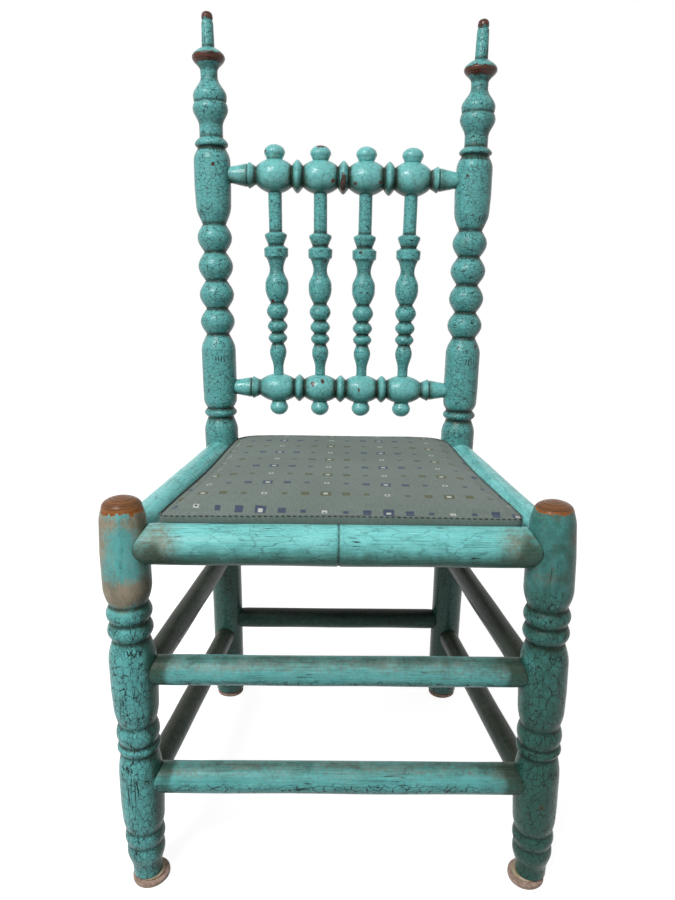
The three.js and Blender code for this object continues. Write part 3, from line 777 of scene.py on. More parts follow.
@Effect
def crackle(g: Graph, place: Value, cell: Source = 0.008, stretch: Source = 1.3,
            warp: Source = 0.7, random: Source = 0.95, width: Source = 0.045,
            closed: Source = 0.55, fine: Source = 0.5) -> Drawn:
    """Cracks between the cells of a warped Voronoi pattern at two sizes.

    Hairlines run along most edges of the cells. Here and there a slow noise opens them to wide dark
    cracks. The smaller pattern only adds hairlines in patches.

    Args:
        g: the group's graph.
        place: where the pattern is read.
        cell: width of a cell, m.
        stretch: a cell's length along the piece over its width.
        warp: how far the cells are pushed about.
        random: how irregular they are.
        width: width of a crack as a share of a cell.
        closed: noise below which the cracks stay shut.
        fine: strength of the smaller pattern.

    Returns:
        Hairlines, open cracks, a tone for each cell, and how far it curls up at its edge.
    """
    voronoi = "ShaderNodeTexVoronoi"
    across = 1.0 / cell
    scale = g.take("ShaderNodeCombineXYZ", {0: across, 1: across, 2: across / stretch})
    place = g.vector("MULTIPLY", place, scale)
    warped = g.vector("ADD", place, g.drift(place, 0.9, 1.0, 0.5, warp))
    warped = g.vector("ADD", warped, g.drift(place, 3.4, 3.0, 0.65, warp * 0.6))
    shape = {"Vector": warped, "Scale": 1.0, "Randomness": random}
    edge = g.take(voronoi, shape, "Distance", feature="DISTANCE_TO_EDGE")
    cells = g.take(voronoi, shape, "Color", feature="F1")
    inner = g.take(voronoi, shape | {"Scale": 2.2}, "Distance", feature="DISTANCE_TO_EDGE")
    line = g.fade(edge, width * 0.45, width)
    line = line * g.ease(g.noise(place, 0.8, 2.0, 0.6), 0.36, 0.54, 0.35)
    small = g.fade(inner, width * 0.6, width * 1.7) * g.ease(g.noise(place, 0.6), 0.38, 0.58)
    reach = width * (g.noise(place, 1.7) * 4.2 - 0.9)
    opened = g.ease(g.noise(place, 0.5, 3.0, 0.6), closed, closed + 0.14)
    return {"Hair": g.most(line, small * fine), "Open": g.fade(edge, reach * 0.4, reach) * opened,
            "Tone": g.take("ShaderNodeSeparateColor", {0: cells}), "Lift": g.ease(edge, 0.0, 0.2)}


@Effect
def splits(g: Graph, place: Value, scale: Source = 120.0, width: Source = 0.02,
           closed: Source = 0.5) -> Drawn:
    """Dark lines that run with the grain: the places where a long-drawn noise passes its middle.

    Args:
        g: the group's graph.
        place: where the pattern is read.
        scale: of the noise, per metre.
        width: how near its middle the noise has to be.
        closed: slow noise below which there are no splits.

    Returns:
        The splits.
    """
    wave = g.math("ABSOLUTE", g.noise(g.squeezed(place, 0.07), scale, 2.5) - 0.5)
    here = g.ease(g.noise(place, scale * 0.22), closed, closed + 0.08)
    return {"Split": g.fade(wave, width * 0.3, width) * here}


@Effect
def grain(g: Graph, place: Value, scale: Source = 420.0) -> Drawn:
    """Fine lines along the wood: noise drawn out along the piece, in a coarse and a fine part."""
    coarse = g.noise(g.squeezed(place, 0.035), scale, 3.0, 0.6)
    fine = g.noise(g.squeezed(place, 0.06, across=3.1), scale, 2.0, 0.6)
    return {"Line": (coarse + fine) * 0.5, "Pore": g.ease(fine, 0.36, 0.28)}


@Effect
def blotch(g: Graph, place: Value, scale: Source = 150.0, push: Source = 0.0,
           start: Source = 0.62, soft: Source = 0.03) -> Drawn:
    """Ragged spots where a noise, helped by a push, rises from start to start plus soft."""
    return {"Spot": g.ease(g.noise(place, scale, 4.0, 0.62) + push, start, start + soft)}


@Effect
def notches(g: Graph, offset: Value, pitch: Source = 0.0042, length: Source = 0.011) -> Drawn:
    """Four short knife cuts side by side, thick in the middle.

    Args:
        g: the group's graph.
        offset: distances across and along to the middle of the cuts, m.
        pitch: from cut to cut, m.
        length: of a cut, m.

    Returns:
        The cuts.
    """
    across, along, _ = g.parts(offset)
    nearer = g.math("ABSOLUTE", g.math("PINGPONG", across, pitch) - pitch * 0.5)
    thick = g.ease(along, 0.0, length * 0.5, 0.0011, 0.0003)
    inside = g.math("LESS_THAN", across, pitch * 2.0)
    short = g.fade(along, length * 0.4, length * 0.55)
    return {"Cut": g.fade(nearer, thick * 0.5, thick) * inside * short}


@Effect
def lathe_rings(g: Graph, place: Value, scale: Source = 900.0) -> Drawn:
    """Rings about the axis of a piece: noise read by the distance to that axis alone."""
    out = g.vector("LENGTH", g.squeezed(place, 0.0))
    return {"Ring": g.noise(g.take("ShaderNodeCombineXYZ", {0: out}), scale, 3.0, 0.7)}


@Effect
def weave(g: Graph, cloth: Value, thread: Source = 0.0009) -> Drawn:
    """Plain weave: the higher of two sets of rounded threads, each hidden at every other crossing.

    Args:
        g: the group's graph.
        cloth: the place on the cloth, m.
        thread: from thread to thread, m.

    Returns:
        The threads' height, and how thick each is along its way.
    """
    turn = math.pi / thread
    waves = [g.math("SINE", part * turn) for part in g.parts(cloth)[:2]]
    over = g.math("GREATER_THAN", waves[0] * waves[1], 0.0)
    slub = g.noise(g.vector("MULTIPLY", cloth, (1.0, 0.12, 1.0)), 900.0)
    return {"Height": g.blend(over, *(g.math("ABSOLUTE", wave) for wave in waves)), "Slub": slub}


@Effect
def squares(g: Graph, cloth: Value, column: Source = 0.0232, row: Source = 0.036,
            half: Source = 0.006, fall: Source = 0.0015, blur: Source = 0.0003) -> Drawn:
    """Rows of little squares that grow and shrink over six columns.

    A column's step d is its distance, 0 to 3, from the nearest column of large squares. A square's
    half side falls evenly with d. The largest has a pale middle and the smallest a pale border. Every
    other row has the second colour and starts half a period on.

    Args:
        g: the group's graph.
        cloth: the place on the cloth, m.
        column: from column to column, m.
        row: from row to row, m.
        half: half side of the largest square, m.
        fall: how much smaller it gets with each step, m.
        blur: how soft the edges are, m.

    Returns:
        The squares of the first and of the second colour, and the pale parts.
    """
    x, y, _ = g.parts(cloth)
    columns, rows = x / column, y / row
    near_column, near_row = g.math("ROUND", columns), g.math("ROUND", rows)
    across = g.math("ABSOLUTE", columns - near_column) * column
    along = g.math("ABSOLUTE", rows - near_row) * row
    odd = g.math("PINGPONG", near_row, 1.0)
    step = g.math("PINGPONG", near_column, 3.0)
    step = g.blend(odd, step, 3.0 - step)
    out = g.most(across, along) + g.sway(cloth, 1400.0, 0.0008, 1.0)

    def inside(reach: Value) -> Value:
        """One within a square of a half side, zero outside."""
        return g.fade(out, reach - blur, reach + blur)

    filled = inside(half - step * fall)
    middle = inside(half * 0.42) * g.math("LESS_THAN", step, 0.5)
    border = g.math("SUBTRACT", inside(half * 0.5), filled, clamp=True)
    shown = g.math("SUBTRACT", filled, middle, clamp=True)
    return {"First": shown * (1.0 - odd), "Second": shown * odd,
            "Pale": g.most(middle, border * g.math("GREATER_THAN", step, 2.5))}


# Finishes

def empty_graph(owner: Material | bpy.types.World) -> Graph:
    """The owner's node tree, emptied."""
    owner.use_nodes = True
    owner.node_tree.nodes.clear()
    return Graph(owner.node_tree)


@dataclass(frozen=True)
class Finish:
    """A material of one shader."""

    name: str

    def inputs(self, g: Graph) -> dict[str, Source]:
        """What the shader's inputs get, by name."""
        raise NotImplementedError

    def build(self) -> Material:
        """Makes the material."""
        material = bpy.data.materials.new(self.name)
        g = empty_graph(material)
        shader = g.take("ShaderNodeBsdfPrincipled", self.inputs(g))
        g.node("ShaderNodeOutputMaterial", {"Surface": shader})
        return material


@dataclass(frozen=True)
class CrackledPaint(Finish):
    """Old turquoise paint on turned wood: crackled, with dirt and painted shade in its hollows, worn
    by use.
    """

    cell: float = 0.0075  # width of a cell of the crackle, m
    stretch: float = 1.35  # a cell's length over its width
    random: float = 0.95
    crack: float = 0.045  # width of a crack as a share of a cell
    closed: float = 0.56  # the less, the more cracks gape
    fine: float = 0.5
    hair: float = 0.6  # how dark the hairlines are
    split: float = 0.016
    split_closed: float = 0.56
    grain: float = 0.2
    mottle: float = 0.4
    veil: float = 0.5  # of dust
    grime: float = 0.8  # in the grooves: dirt and painted shade
    rough: float = 0.3
    soil: float = 0.0  # painted shade and dirt all over
    wobble: float = 0.0012  # of the knife cuts, m
    gloss: float = 0.2
    light: Colour = srgb(120, 200, 199)
    mid: Colour = srgb(96, 175, 173)
    deep: Colour = srgb(70, 134, 129)
    veil_tone: Colour = srgb(104, 124, 102)
    # near-black: dirt and painted shade in the grooves
    grime_tone: Colour = srgb(24, 32, 24)
    hair_tone: Colour = srgb(12, 22, 19)
    crack_tone: Colour = srgb(20, 26, 22)
    worn_tone: Colour = srgb(146, 134, 116)
    worn_dark: Colour = srgb(110, 106, 90)
    chip_tone: Colour = srgb(96, 54, 40)
    bare_tone: Colour = srgb(150, 104, 72)
    bare_dark: Colour = srgb(96, 62, 44)
    bare_rim: Colour = srgb(176, 106, 52)
    soil_tone: Colour = (0.23, 0.26, 0.21, 1.0)  # what paint keeps of its colour under painted shade and dirt

    def coat(self, g: Graph, place: Value, cells: Value, lines: Drawn, cloud: Value,
             streak: Value) -> Value:
        """The paint before use: three tones by a sum of mottlings about 0.5, under a veil of dust.

        Args:
            g: the material's graph.
            place: where noises are read.
            cells: a random tone for each cell of the crackle.
            lines: the grain.
            cloud: slow noise.
            streak: noise drawn out along the piece.

        Returns:
            Its colour.
        """
        dust = g.sway(place, 620.0, 0.8 * self.mottle, 4.0, 0.7)
        tone = ((cells - 0.5) * 0.08 + (cloud - 0.5) * self.mottle + (streak - 0.5) * self.mottle
                + (lines["Line"] - 0.5) * (2 * self.grain) + dust + 0.5)
        paint = g.mix(g.ease(tone, 0.26, 0.5), self.deep, self.mid)
        paint = g.mix(g.ease(tone, 0.5, 0.8), paint, self.light)
        veil = g.group(blotch, place=place, scale=46.0, push=g.mark("hollow") * 0.34, start=0.56,
                       soft=0.3)["Spot"]
        paint = g.mix(veil * self.veil, paint, self.veil_tone)
        return g.mix(lines["Pore"] * (1.4 * self.grain), paint, self.veil_tone)

    def soiled(self, g: Graph, place: Value, paint: Value, dirt: Value) -> Value:
        """Paint under dirt, painted shade and specks.

        Args:
            g: the material's graph.
            place: where noises are read.
            paint: its colour when clean.
            dirt: how thick the dirt and painted shade of the grooves lie.

        Returns:
            Its colour.
        """
        paint = g.mix(dirt, paint, self.grime_tone)
        # Painted shade: patches of shade and dirt and the wider hollows multiply the paint darker,
        # with a slow noise.
        soil = (g.mark("dirty") + g.mark("hollow") * 0.6
                + (g.sway(place, 70.0, 0.7, 4.0, 0.6) + self.soil))
        paint = g.mix(g.ease(soil, 0.08, 0.92), paint, self.soil_tone, "MULTIPLY")
        specks = g.group(blotch, place=place, scale=520.0, start=0.735, soft=0.02)["Spot"]
        return g.mix(specks * 0.85, paint, self.crack_tone)

    def bare_wood(self, g: Graph, bared: Value, pore: Value) -> Value:
        """Clean wood in rings, with a warm rim where the paint around it ends.

        Args:
            g: the material's graph.
            bared: how bare the wood is.
            pore: the dark pores of the grain.

        Returns:
            Its colour.
        """
        ring = g.group(lathe_rings, place=g.mark("lathe", vector=True))["Ring"]
        fresh = g.mix(g.ease(ring, 0.42, 0.56), self.bare_dark, self.bare_tone)
        fresh = g.mix(pore * 0.5, fresh, self.bare_dark)
        return g.mix(g.fade(bared, 0.5, 0.74), fresh, self.bare_rim)

    def inputs(self, g: Graph) -> dict[str, Source]:
        """Paint, then wear, dirt and painted shade, chips, cracks and bare wood over it.

        Args:
            g: the material's graph.

        Returns:
            What the shader's inputs get, by name.
        """
        place = g.mark("turning", vector=True)
        worn = g.mark("worn")
        cracks = g.group(crackle, place=place, cell=self.cell, stretch=self.stretch,
                         random=self.random, width=self.crack, closed=self.closed, fine=self.fine)
        split = g.group(splits, place=place, width=self.split, closed=self.split_closed)["Split"]
        lines = g.group(grain, place=place)
        offset = g.vector("ADD", g.mark("notch", vector=True),
                          g.drift(place, 210.0, 2.0, 0.6, self.wobble))
        cut = g.group(notches, offset=offset)["Cut"]
        cloud = g.noise(place, 38.0, 4.0, 0.6)
        streak = g.noise(g.squeezed(place, 0.18), 85.0, 3.0, 0.6)

        rag = g.sway(place, 240.0, 1.2, 5.0, 0.7) + (streak - 0.5) * 0.8
        worn_here = g.ease(worn + rag, 0.14, 0.86)
        wood = g.mix(g.ease(cloud + lines["Line"] * 0.7, 0.65, 1.0), self.worn_dark, self.worn_tone)
        coat = self.coat(g, place, cracks["Tone"], lines, cloud, streak)
        paint = g.mix(worn_here * 0.9, coat, wood)
        # Dirt and painted shade in the narrow grooves, drawn in a near-black tone.
        dirt = g.mark("cavity") * (g.noise(place, 190.0) * 0.9 + 0.45)
        dirt = g.math("MULTIPLY", dirt, self.grime, clamp=True)
        paint = self.soiled(g, place, paint, dirt)

        scraped = g.group(blotch, place=place, scale=190.0, push=g.mark("rim") * 0.05, start=0.75,
                          soft=0.01)["Spot"]
        chipped = g.ease(g.mark("chip") + g.sway(place, 330.0, 0.9, 3.0), 0.42, 0.5)
        chipped = g.most(chipped, scraped)
        chip = g.mix(g.ease(g.noise(place, 420.0), 0.45, 0.6), self.chip_tone, self.crack_tone)
        paint = g.mix(chipped, paint, chip)

        painted = g.fade(worn_here, 0.0, 1.0, 0.5) * g.fade(worn, 0.04, 0.2, 0.06)
        paint = g.mix(cracks["Hair"] * painted * self.hair, paint, self.hair_tone)
        split = split * g.fade(worn, 0.2, 0.7, 0.15)
        dark = g.most(split, cut, cracks["Open"] * painted)
        paint = g.mix(dark * 0.93, paint, self.crack_tone)
        bared = g.mark("bare") + g.sway(place, 110.0, 0.9, 5.0, 0.65)
        bare_here = g.ease(bared, 0.47, 0.53)
        fresh = self.bare_wood(g, bared, lines["Pore"])
        colour = g.mix(bare_here, paint, g.mix(split * 0.8, fresh, self.crack_tone))

        rough = cloud * 0.16 + (self.rough - 0.08) + g.most(dark, dirt) * 0.35 + worn_here * 0.16
        height = (lines["Line"] * (0.1 + self.grain) + cracks["Lift"] * 0.12 - cracks["Hair"] * 0.3
                  - dark - chipped * 0.6 - worn_here * 0.2 - bare_here * 0.6)
        return {"Base Color": colour, "Specular IOR Level": self.gloss,
                "Roughness": g.math("SUBTRACT", rough, bare_here * 0.06, clamp=True),
                "Normal": g.bump(height, 0.0006, 0.7)}


@dataclass(frozen=True)
class PlainWood(Finish):
    """Unpainted wood with fine grain along the frame's Y."""

    light: Colour
    dark: Colour

    def inputs(self, g: Graph) -> dict[str, Source]:
        """Two tones by a noise drawn out along the grain, and by slow stains."""
        place = g.own_place()
        line = g.noise(g.vector("MULTIPLY", place, (1.0, 0.06, 1.0)), 260.0, 4.0, 0.65)
        share = g.ease(g.noise(place, 22.0, 3.0) * 0.5 + line * 0.7, 0.42, 0.78)
        return {"Base Color": g.mix(share, self.dark, self.light), "Roughness": line * 0.2 + 0.6,
                "Normal": g.bump(line, 0.0003, 0.4)}


@dataclass(frozen=True)
class Felt(Finish):
    """Pressed felt with a soft sheen."""

    light: Colour = srgb(190, 162, 146)
    dark: Colour = srgb(140, 112, 98)

    def inputs(self, g: Graph) -> dict[str, Source]:
        """Two tones by the noise of hairs and of the mats that they lie in."""
        place = g.own_place()
        hairs = g.noise(place, 1500.0, 3.0, 0.7)
        mats = g.noise(place, 240.0, 3.0, 0.6)
        return {"Base Color": g.mix(g.ease((mats + hairs) * 0.5, 0.38, 0.62), self.dark, self.light),
                "Roughness": 0.95, "Sheen Weight": 0.3, "Normal": g.bump(hairs, 0.0006, 0.8)}


@dataclass(frozen=True)
class SquaresCloth(Finish):
    """Grey-green woven cover with rows of little squares in two colours."""

    ground: Colour = srgb(119, 132, 125)
    ground_dark: Colour = srgb(103, 116, 109)
    gap: Colour = srgb(70, 78, 72)  # painted shade between the threads
    first: Colour = srgb(52, 64, 92)
    second: Colour = srgb(82, 84, 46)
    pale: Colour = srgb(205, 208, 200)

    def inputs(self, g: Graph) -> dict[str, Source]:
        """The ground, the squares on the crown alone, and painted shade between the threads.

        Args:
            g: the material's graph.

        Returns:
            What the shader's inputs get, by name.
        """
        cloth = g.mark("cloth", vector=True)
        pattern = g.group(squares, cloth=g.mark("pattern", vector=True))
        shown = g.mark("crown") * 0.9
        threads = g.group(weave, cloth=cloth)
        share = threads["Slub"] * 0.6 + g.noise(cloth, 9.0, 3.0) * 0.4
        colour = g.mix(g.ease(share, 0.35, 0.65), self.ground_dark, self.ground)
        for key, tone in (("First", self.first), ("Second", self.second), ("Pale", self.pale)):
            colour = g.mix(pattern[key] * shown, colour, tone)
        # Painted shade between the threads, deeper where they lie low.
        colour = g.mix((1.0 - threads["Height"]) * 0.25, colour, self.gap)
        return {"Base Color": colour, "Roughness": 0.92, "Sheen Weight": 0.12,
                "Normal": g.bump(threads["Height"], 0.0003, 0.6)}


@dataclass(frozen=True)
class Thread(Finish):
    """Dark sewing thread."""

    light: Colour = srgb(52, 58, 60)
    dark: Colour = srgb(24, 27, 30)

    def inputs(self, g: Graph) -> dict[str, Source]:
        """Two tones by a fine noise for the twist."""
        twist = g.noise(g.own_place(), 2600.0)
        return {"Base Color": g.mix(g.ease(twist, 0.4, 0.6), self.dark, self.light),
                "Roughness": 0.8, "Normal": g.bump(twist, 0.0002, 0.5)}


LEG_PAINT = CrackledPaint(
    "paint_on_legs", cell=0.0066, stretch=1.45, crack=0.046, wobble=0.011, fine=0.55, hair=1.0,
    split=0.013, split_closed=0.54, mottle=0.42, worn_tone=srgb(162, 142, 118),
    worn_dark=srgb(122, 110, 92), bare_tone=srgb(140, 90, 50), bare_dark=srgb(60, 38, 22),
    bare_rim=srgb(150, 86, 26))
BACK_PAINT = CrackledPaint(
    "paint_on_back", cell=0.008, stretch=0.6, random=0.85, crack=0.05, gloss=0.3, fine=0.3,
    hair=0.95, rough=0.24, split_closed=0.62, mottle=0.12, bare_tone=srgb(116, 58, 34),
    bare_dark=srgb(36, 24, 18), bare_rim=srgb(66, 48, 36))
BACK_RAIL_PAINT = CrackledPaint(
    "paint_on_back_rails", cell=0.008, stretch=1.0, crack=0.036, closed=0.66, fine=0.4, hair=0.55,
    split_closed=0.66, mottle=0.16, grain=0.08, veil=0.7, rough=0.2, gloss=0.42,
    light=srgb(134, 212, 210), mid=srgb(112, 192, 190), deep=srgb(86, 160, 154))
SEAT_RAIL_PAINT = CrackledPaint(
    "paint_on_rails", cell=0.011, stretch=3.0, crack=0.035, closed=0.66, fine=0.3, hair=0.4,
    split_closed=0.58, grain=0.55, light=srgb(144, 222, 220), mid=srgb(118, 200, 198),
    deep=srgb(86, 158, 154), worn_tone=srgb(136, 140, 124), worn_dark=srgb(104, 108, 92))
FRONT_BAR_PAINT = CrackledPaint(
    "paint_on_front_bars", cell=0.007, stretch=2.0, crack=0.055, closed=0.58, hair=1.0, grain=0.5,
    mottle=0.38, worn_tone=srgb(122, 134, 124), worn_dark=srgb(86, 100, 90))
SIDE_BAR_PAINT = CrackledPaint(
    "paint_on_side_bars", cell=0.008, stretch=2.0, crack=0.06, soil=0.15, mid=srgb(84, 120, 112),
    light=srgb(104, 146, 138), deep=srgb(58, 84, 76), worn_tone=srgb(104, 106, 92),
    worn_dark=srgb(62, 62, 52))
# A shaded copy of the paint: its darker tones, soil all over and near-black worn tones are painted
# shade under the seat.
REAR_BAR_PAINT = CrackledPaint(
    "paint_on_rear_bar", cell=0.008, stretch=2.0, soil=0.3, mid=srgb(56, 108, 98),
    light=srgb(84, 140, 130), deep=srgb(30, 56, 48), worn_tone=srgb(44, 46, 38),
    worn_dark=srgb(20, 22, 18))


# Sub-assemblies

SIDES = {"left": -1, "right": 1}


@dataclass(frozen=True)
class Plan:
    """Where the axes of the uprights stand, and the height of the seat frame."""

    front_half_span: float = 230.4  # half the distance between the front legs' feet
    front_shift: float = 2.3  # how far their middle lies right of the rear posts' middle
    left_lean: float = -3.8  # how far a front leg's top stands right of its foot
    right_lean: float = -12.8
    leg_top: float = 477.5
    rear_half_span: float = 182.9
    middle: float = -0.286  # the rear posts' middle in the frame
    front_line: float = -205.584
    depth: float = 383.8
    post_top: float = 1058.0
    rake: float = 26.6
    splay: float = 12.1
    seat_top: float = 447.0
    leg_foot: float = 8.6

    def front(self, side: int, height: float) -> Array:
        """Point of a leaning front leg's axis."""
        foot = self.middle + self.front_shift + side * self.front_half_span
        lean = self.left_lean if side < 0 else self.right_lean
        return np.array([foot + lean * height / self.leg_top, self.front_line, height])

    def rear(self, side: int, height: float) -> Array:
        """Point of a raked and splayed rear post's axis."""
        risen = height / self.post_top
        return np.array([self.middle + side * (self.rear_half_span + self.splay * risen),
                         self.front_line + self.depth + self.rake * risen, height])


PLAN = Plan()


@dataclass(frozen=True)
class Upright:
    """A leg or post: where its axis runs and the outline that it is turned to."""

    place: Callable[[int, float], Array]  # gives the point of the axis at a side and a height
    side: int  # -1 for the left, 1 for the right
    rows: list[Stretch]
    foot_share: float
    radius: float
    top: float
    swell: float = 0.0  # by what share it is thicker at its foot

    def at(self, height: float) -> Array:
        """The point of its axis at a height."""
        return self.place(self.side, height)

    def girth(self, height: float, reach: float) -> float:
        """The greatest radius within a reach of a height."""
        near = np.abs(self.outline[:, 1] - height) < reach
        return float(self.outline[near, 0].max())

    @property
    def axis(self) -> Axis:
        """The axis from the floor to the tip."""
        return Axis(self.at(0), self.at(self.top), FRONT)

    @cached_property
    def outline(self) -> Array:
        """The outline from the foot to the tip, as rows of (radius, height)."""
        line = profile(self.rows, self.foot_share, self.radius, PLAN.leg_foot, self.axis.length, 1.0)
        line[:, 0] *= 1 + self.swell * (1 - line[:, 1] / self.top)
        return line


@dataclass
class Uprights:
    """The two front legs and the two rear posts, with the plug over a peg hole."""

    leg_radius: float = 25.8
    leg_foot_share: float = 0.648
    post_radius: float = 26.6
    post_foot_share: float = 0.875
    below_floor: float = 1.2  # how far legs and posts run on before they are cut level
    plug_radius: float = 4.0
    plug_length: float = 11.0
    plug_height: float = 119.0
    plug_proud: float = 0.5
    right_leg_extra: float = 0.35  # how much thicker the right leg was turned
    right_leg_swell: float = 0.036  # and by what share more at its foot
    right_post_extra: float = 0.15

    leg_wear = {
        "left": Wear(
            worn=(Patch(430, 34, -66, 38, 0.85), Patch(375, 16, -10, 150, 1.1),
                  Patch(455, 9, 0, 130, 0.5), Patch(440, 40, 75, 40, 0.6),
                  Patch(300, 14, 70, 30, 0.3), Patch(428, 50, strength=0.14)),
            bare=(Patch(477.5, 17),),
            # Painted shade down the right side, away from the lamp, and a faint darkening low on the
            # left front.
            dirty=(Patch(180, 300, 76, 34, 1.3), Patch(90, 120, -40, 60, 0.12)),
            notches=(Notch(307, 22), Notch(162, -25))),
        "right": Wear(
            worn=(Patch(440, 18, 60, 40, 0.3), Patch(400, 9, 0, 70, 0.3),
                  Patch(468, 5, 0, 300, 0.3), Patch(425, 46, strength=0.26)),
            bare=(Patch(477.5, 11),),
            # Painted shade over the whole right leg, deeper down its right side and towards its foot.
            dirty=(Patch(240, ALL_ALONG, strength=0.66), Patch(60, 190, strength=0.34),
                   Patch(240, ALL_ALONG, 88, 40, 0.4)),
            notches=(Notch(305, 12), Notch(158, 28))),
    }
    post_wear = {
        "left": Wear(
            worn=(Patch(600, 10, -60, 40, 0.35),),
            bare=(Patch(996, 8.5, strength=0.8), Patch(1058, 13, strength=0.85)),
            chips=(Patch(853, 3.4, 12, 7), Patch(858, 6, 84, 7), Patch(820, 1.6, -8, 4)),
            # Painted shade down the right side; darker over the lower post; dirt and painted shade in
            # the groove at 877.
            dirty=(Patch(700, ALL_ALONG, 92, 46, 0.6), Patch(180, 230, strength=1.2),
                   Patch(877, 2.4, strength=1.3)),
            notches=(Notch(874, 33), Notch(787, -48), Notch(575, 12), Notch(1020, -58))),
        "right": Wear(
            worn=(Patch(810, 9, 60, 50, 0.35),),
            bare=(Patch(985, 8.5, strength=0.8), Patch(1054, 14, strength=0.85)),
            chips=(Patch(843, 2.2, -30, 5), Patch(598, 3, 40, 6)),
            # Painted shade down the right side; darker over the lower post and a little over the
            # rest; dirt and painted shade in the groove at 869.
            dirty=(Patch(700, ALL_ALONG, 80, 50, 0.5), Patch(180, 230, strength=1.1),
                   Patch(800, 400, strength=0.16), Patch(869, 2.4, strength=1.3)),
            notches=(Notch(868, 16), Notch(784, 35), Notch(575, 16), Notch(1012, 55))),
    }

    @cached_property
    def legs(self) -> dict[str, Upright]:
        """The front legs by side."""
        return {name: Upright(PLAN.front, side, FRONT_LEG_SHARES, self.leg_foot_share,
                              self.leg_radius + self.right_leg_extra * (side > 0), PLAN.leg_top,
                              self.right_leg_swell * (side > 0)) for name, side in SIDES.items()}

    @cached_property
    def posts(self) -> dict[str, Upright]:
        """The rear posts by side."""
        rows = {-1: REAR_POST_SHARES, 1: lowered(REAR_POST_SHARES, RIGHT_POST_DROP_SHARES)}
        return {name: Upright(PLAN.rear, side, rows[side], self.post_foot_share,
                              self.post_radius + self.right_post_extra * (side > 0), PLAN.post_top)
                for name, side in SIDES.items()}

    def build(self, leg_paint: Material, post_paint: Material) -> None:
        """Makes the legs, the posts and the plug.

        Args:
            leg_paint: finish of the legs and the plug.
            post_paint: that of the posts.
        """
        for name in SIDES:
            leg, post = self.legs[name], self.posts[name]
            Turning(f"{name}_front_leg_turned", self.run_on(leg.outline), leg.axis, columns=96,
                    step=1.0, edge=0.8, wear=self.leg_wear[name],
                    floor=PLAN.leg_foot).build(leg_paint)
            Turning(f"{name}_rear_post_turned", self.run_on(post.outline), post.axis, columns=80,
                    step=1.15, edge=0.7, wear=self.post_wear[name],
                    floor=PLAN.leg_foot).build(post_paint)
        self.build_plug(leg_paint)

    def run_on(self, outline: Array) -> Array:
        """An outline that starts on the axis a little below its foot."""
        lower = outline[0] - (0, self.below_floor)
        return np.concatenate([[[0.0, lower[1]], lower], outline])

    def build_plug(self, paint: Material) -> None:
        """Makes the flush plug in the right leg: a short peg with a rounded rim.

        Args:
            paint: its finish.
        """
        leg = self.legs["right"]
        face = leg.girth(self.plug_height, 1.0) + self.plug_proud
        middle = leg.at(self.plug_height)
        outline = cylinder(self.plug_radius, face - self.plug_length, face)
        wear = Wear(worn=(Patch(face, 3, strength=0.6),), dirty=(Patch(face, 30, strength=0.8),))
        Turning("leg_plug_turned", outline, Axis(middle, middle + FRONT * face, UP), columns=32,
                step=0.5, edge=0.4, uneven=0.1, wear=wear).build(paint)


def cylinder(radius: float, low: float, high: float) -> Array:
    """The outline of a plain disc or peg, closed at both ends."""
    return np.array([[0, low], [radius, low], [radius, high], [0, high]], float)


@dataclass(frozen=True)
class Scribe:
    """A groove cut round a bar."""

    offset: float  # from the middle of the bar
    half_width: float
    depth: float


@dataclass(frozen=True)
class Bar:
    """A round rail or stretcher between two uprights."""

    name: str
    height: float
    radius: float
    end_radius: float
    scribes: tuple[Scribe, ...] = ()
    wear: Wear = Wear()  # its heights are shares of the bar's length
    shoulder_reach: float = 12.0  # how far the rounding runs beyond the upright
    shoulder_start: float = 13.0  # from the axis of the upright

    def head(self, girth: float) -> Array:
        """The end of the outline: a quarter ellipse that rises from the end radius.

        Args:
            girth: radius of the upright, inside which nothing of the ellipse is kept.

        Returns:
            Rows of (radius, place along the bar).
        """
        angle = np.linspace(0, np.pi / 2, 24)
        rise = self.end_radius + (self.radius - self.end_radius) * np.sin(angle)
        run = girth + self.shoulder_reach - self.shoulder_start
        place = self.shoulder_start + run * (1 - np.cos(angle))
        kept = place > girth
        first = np.array([[np.interp(girth, place, rise), girth]])
        return np.concatenate([first, np.stack([rise[kept], place[kept]], axis=1)])

    def build(self, first: Upright, second: Upright, paint: Material) -> None:
        """Makes the bar with hollow shoulders that sit against its uprights.

        Args:
            first: the upright at its start.
            second: the upright at its end.
            paint: its finish.
        """
        axis = Axis(first.at(self.height), second.at(self.height), UP)
        girths = [each.girth(self.height, self.radius) for each in (first, second)]
        tail = self.head(girths[1])[::-1]
        tail[:, 1] = axis.length - tail[:, 1]
        middle = axis.length / 2
        cuts = [np.array([[self.radius, middle + s.offset - s.half_width],
                          [self.radius - s.depth, middle + s.offset],
                          [self.radius, middle + s.offset + s.half_width]]) for s in self.scribes]
        outline = np.concatenate([self.head(girths[0]), *cuts, tail])
        copes = (Cope(girths[0], girths[0], 1, reach=self.shoulder_reach),
                 Cope(axis.length - girths[1], girths[1], -1, reach=self.shoulder_reach))
        Turning(f"{self.name}_turned", outline, axis, columns=72, step=1.0, edge=0.6, copes=copes,
                wear=self.wear.along(axis.length)).build(paint)


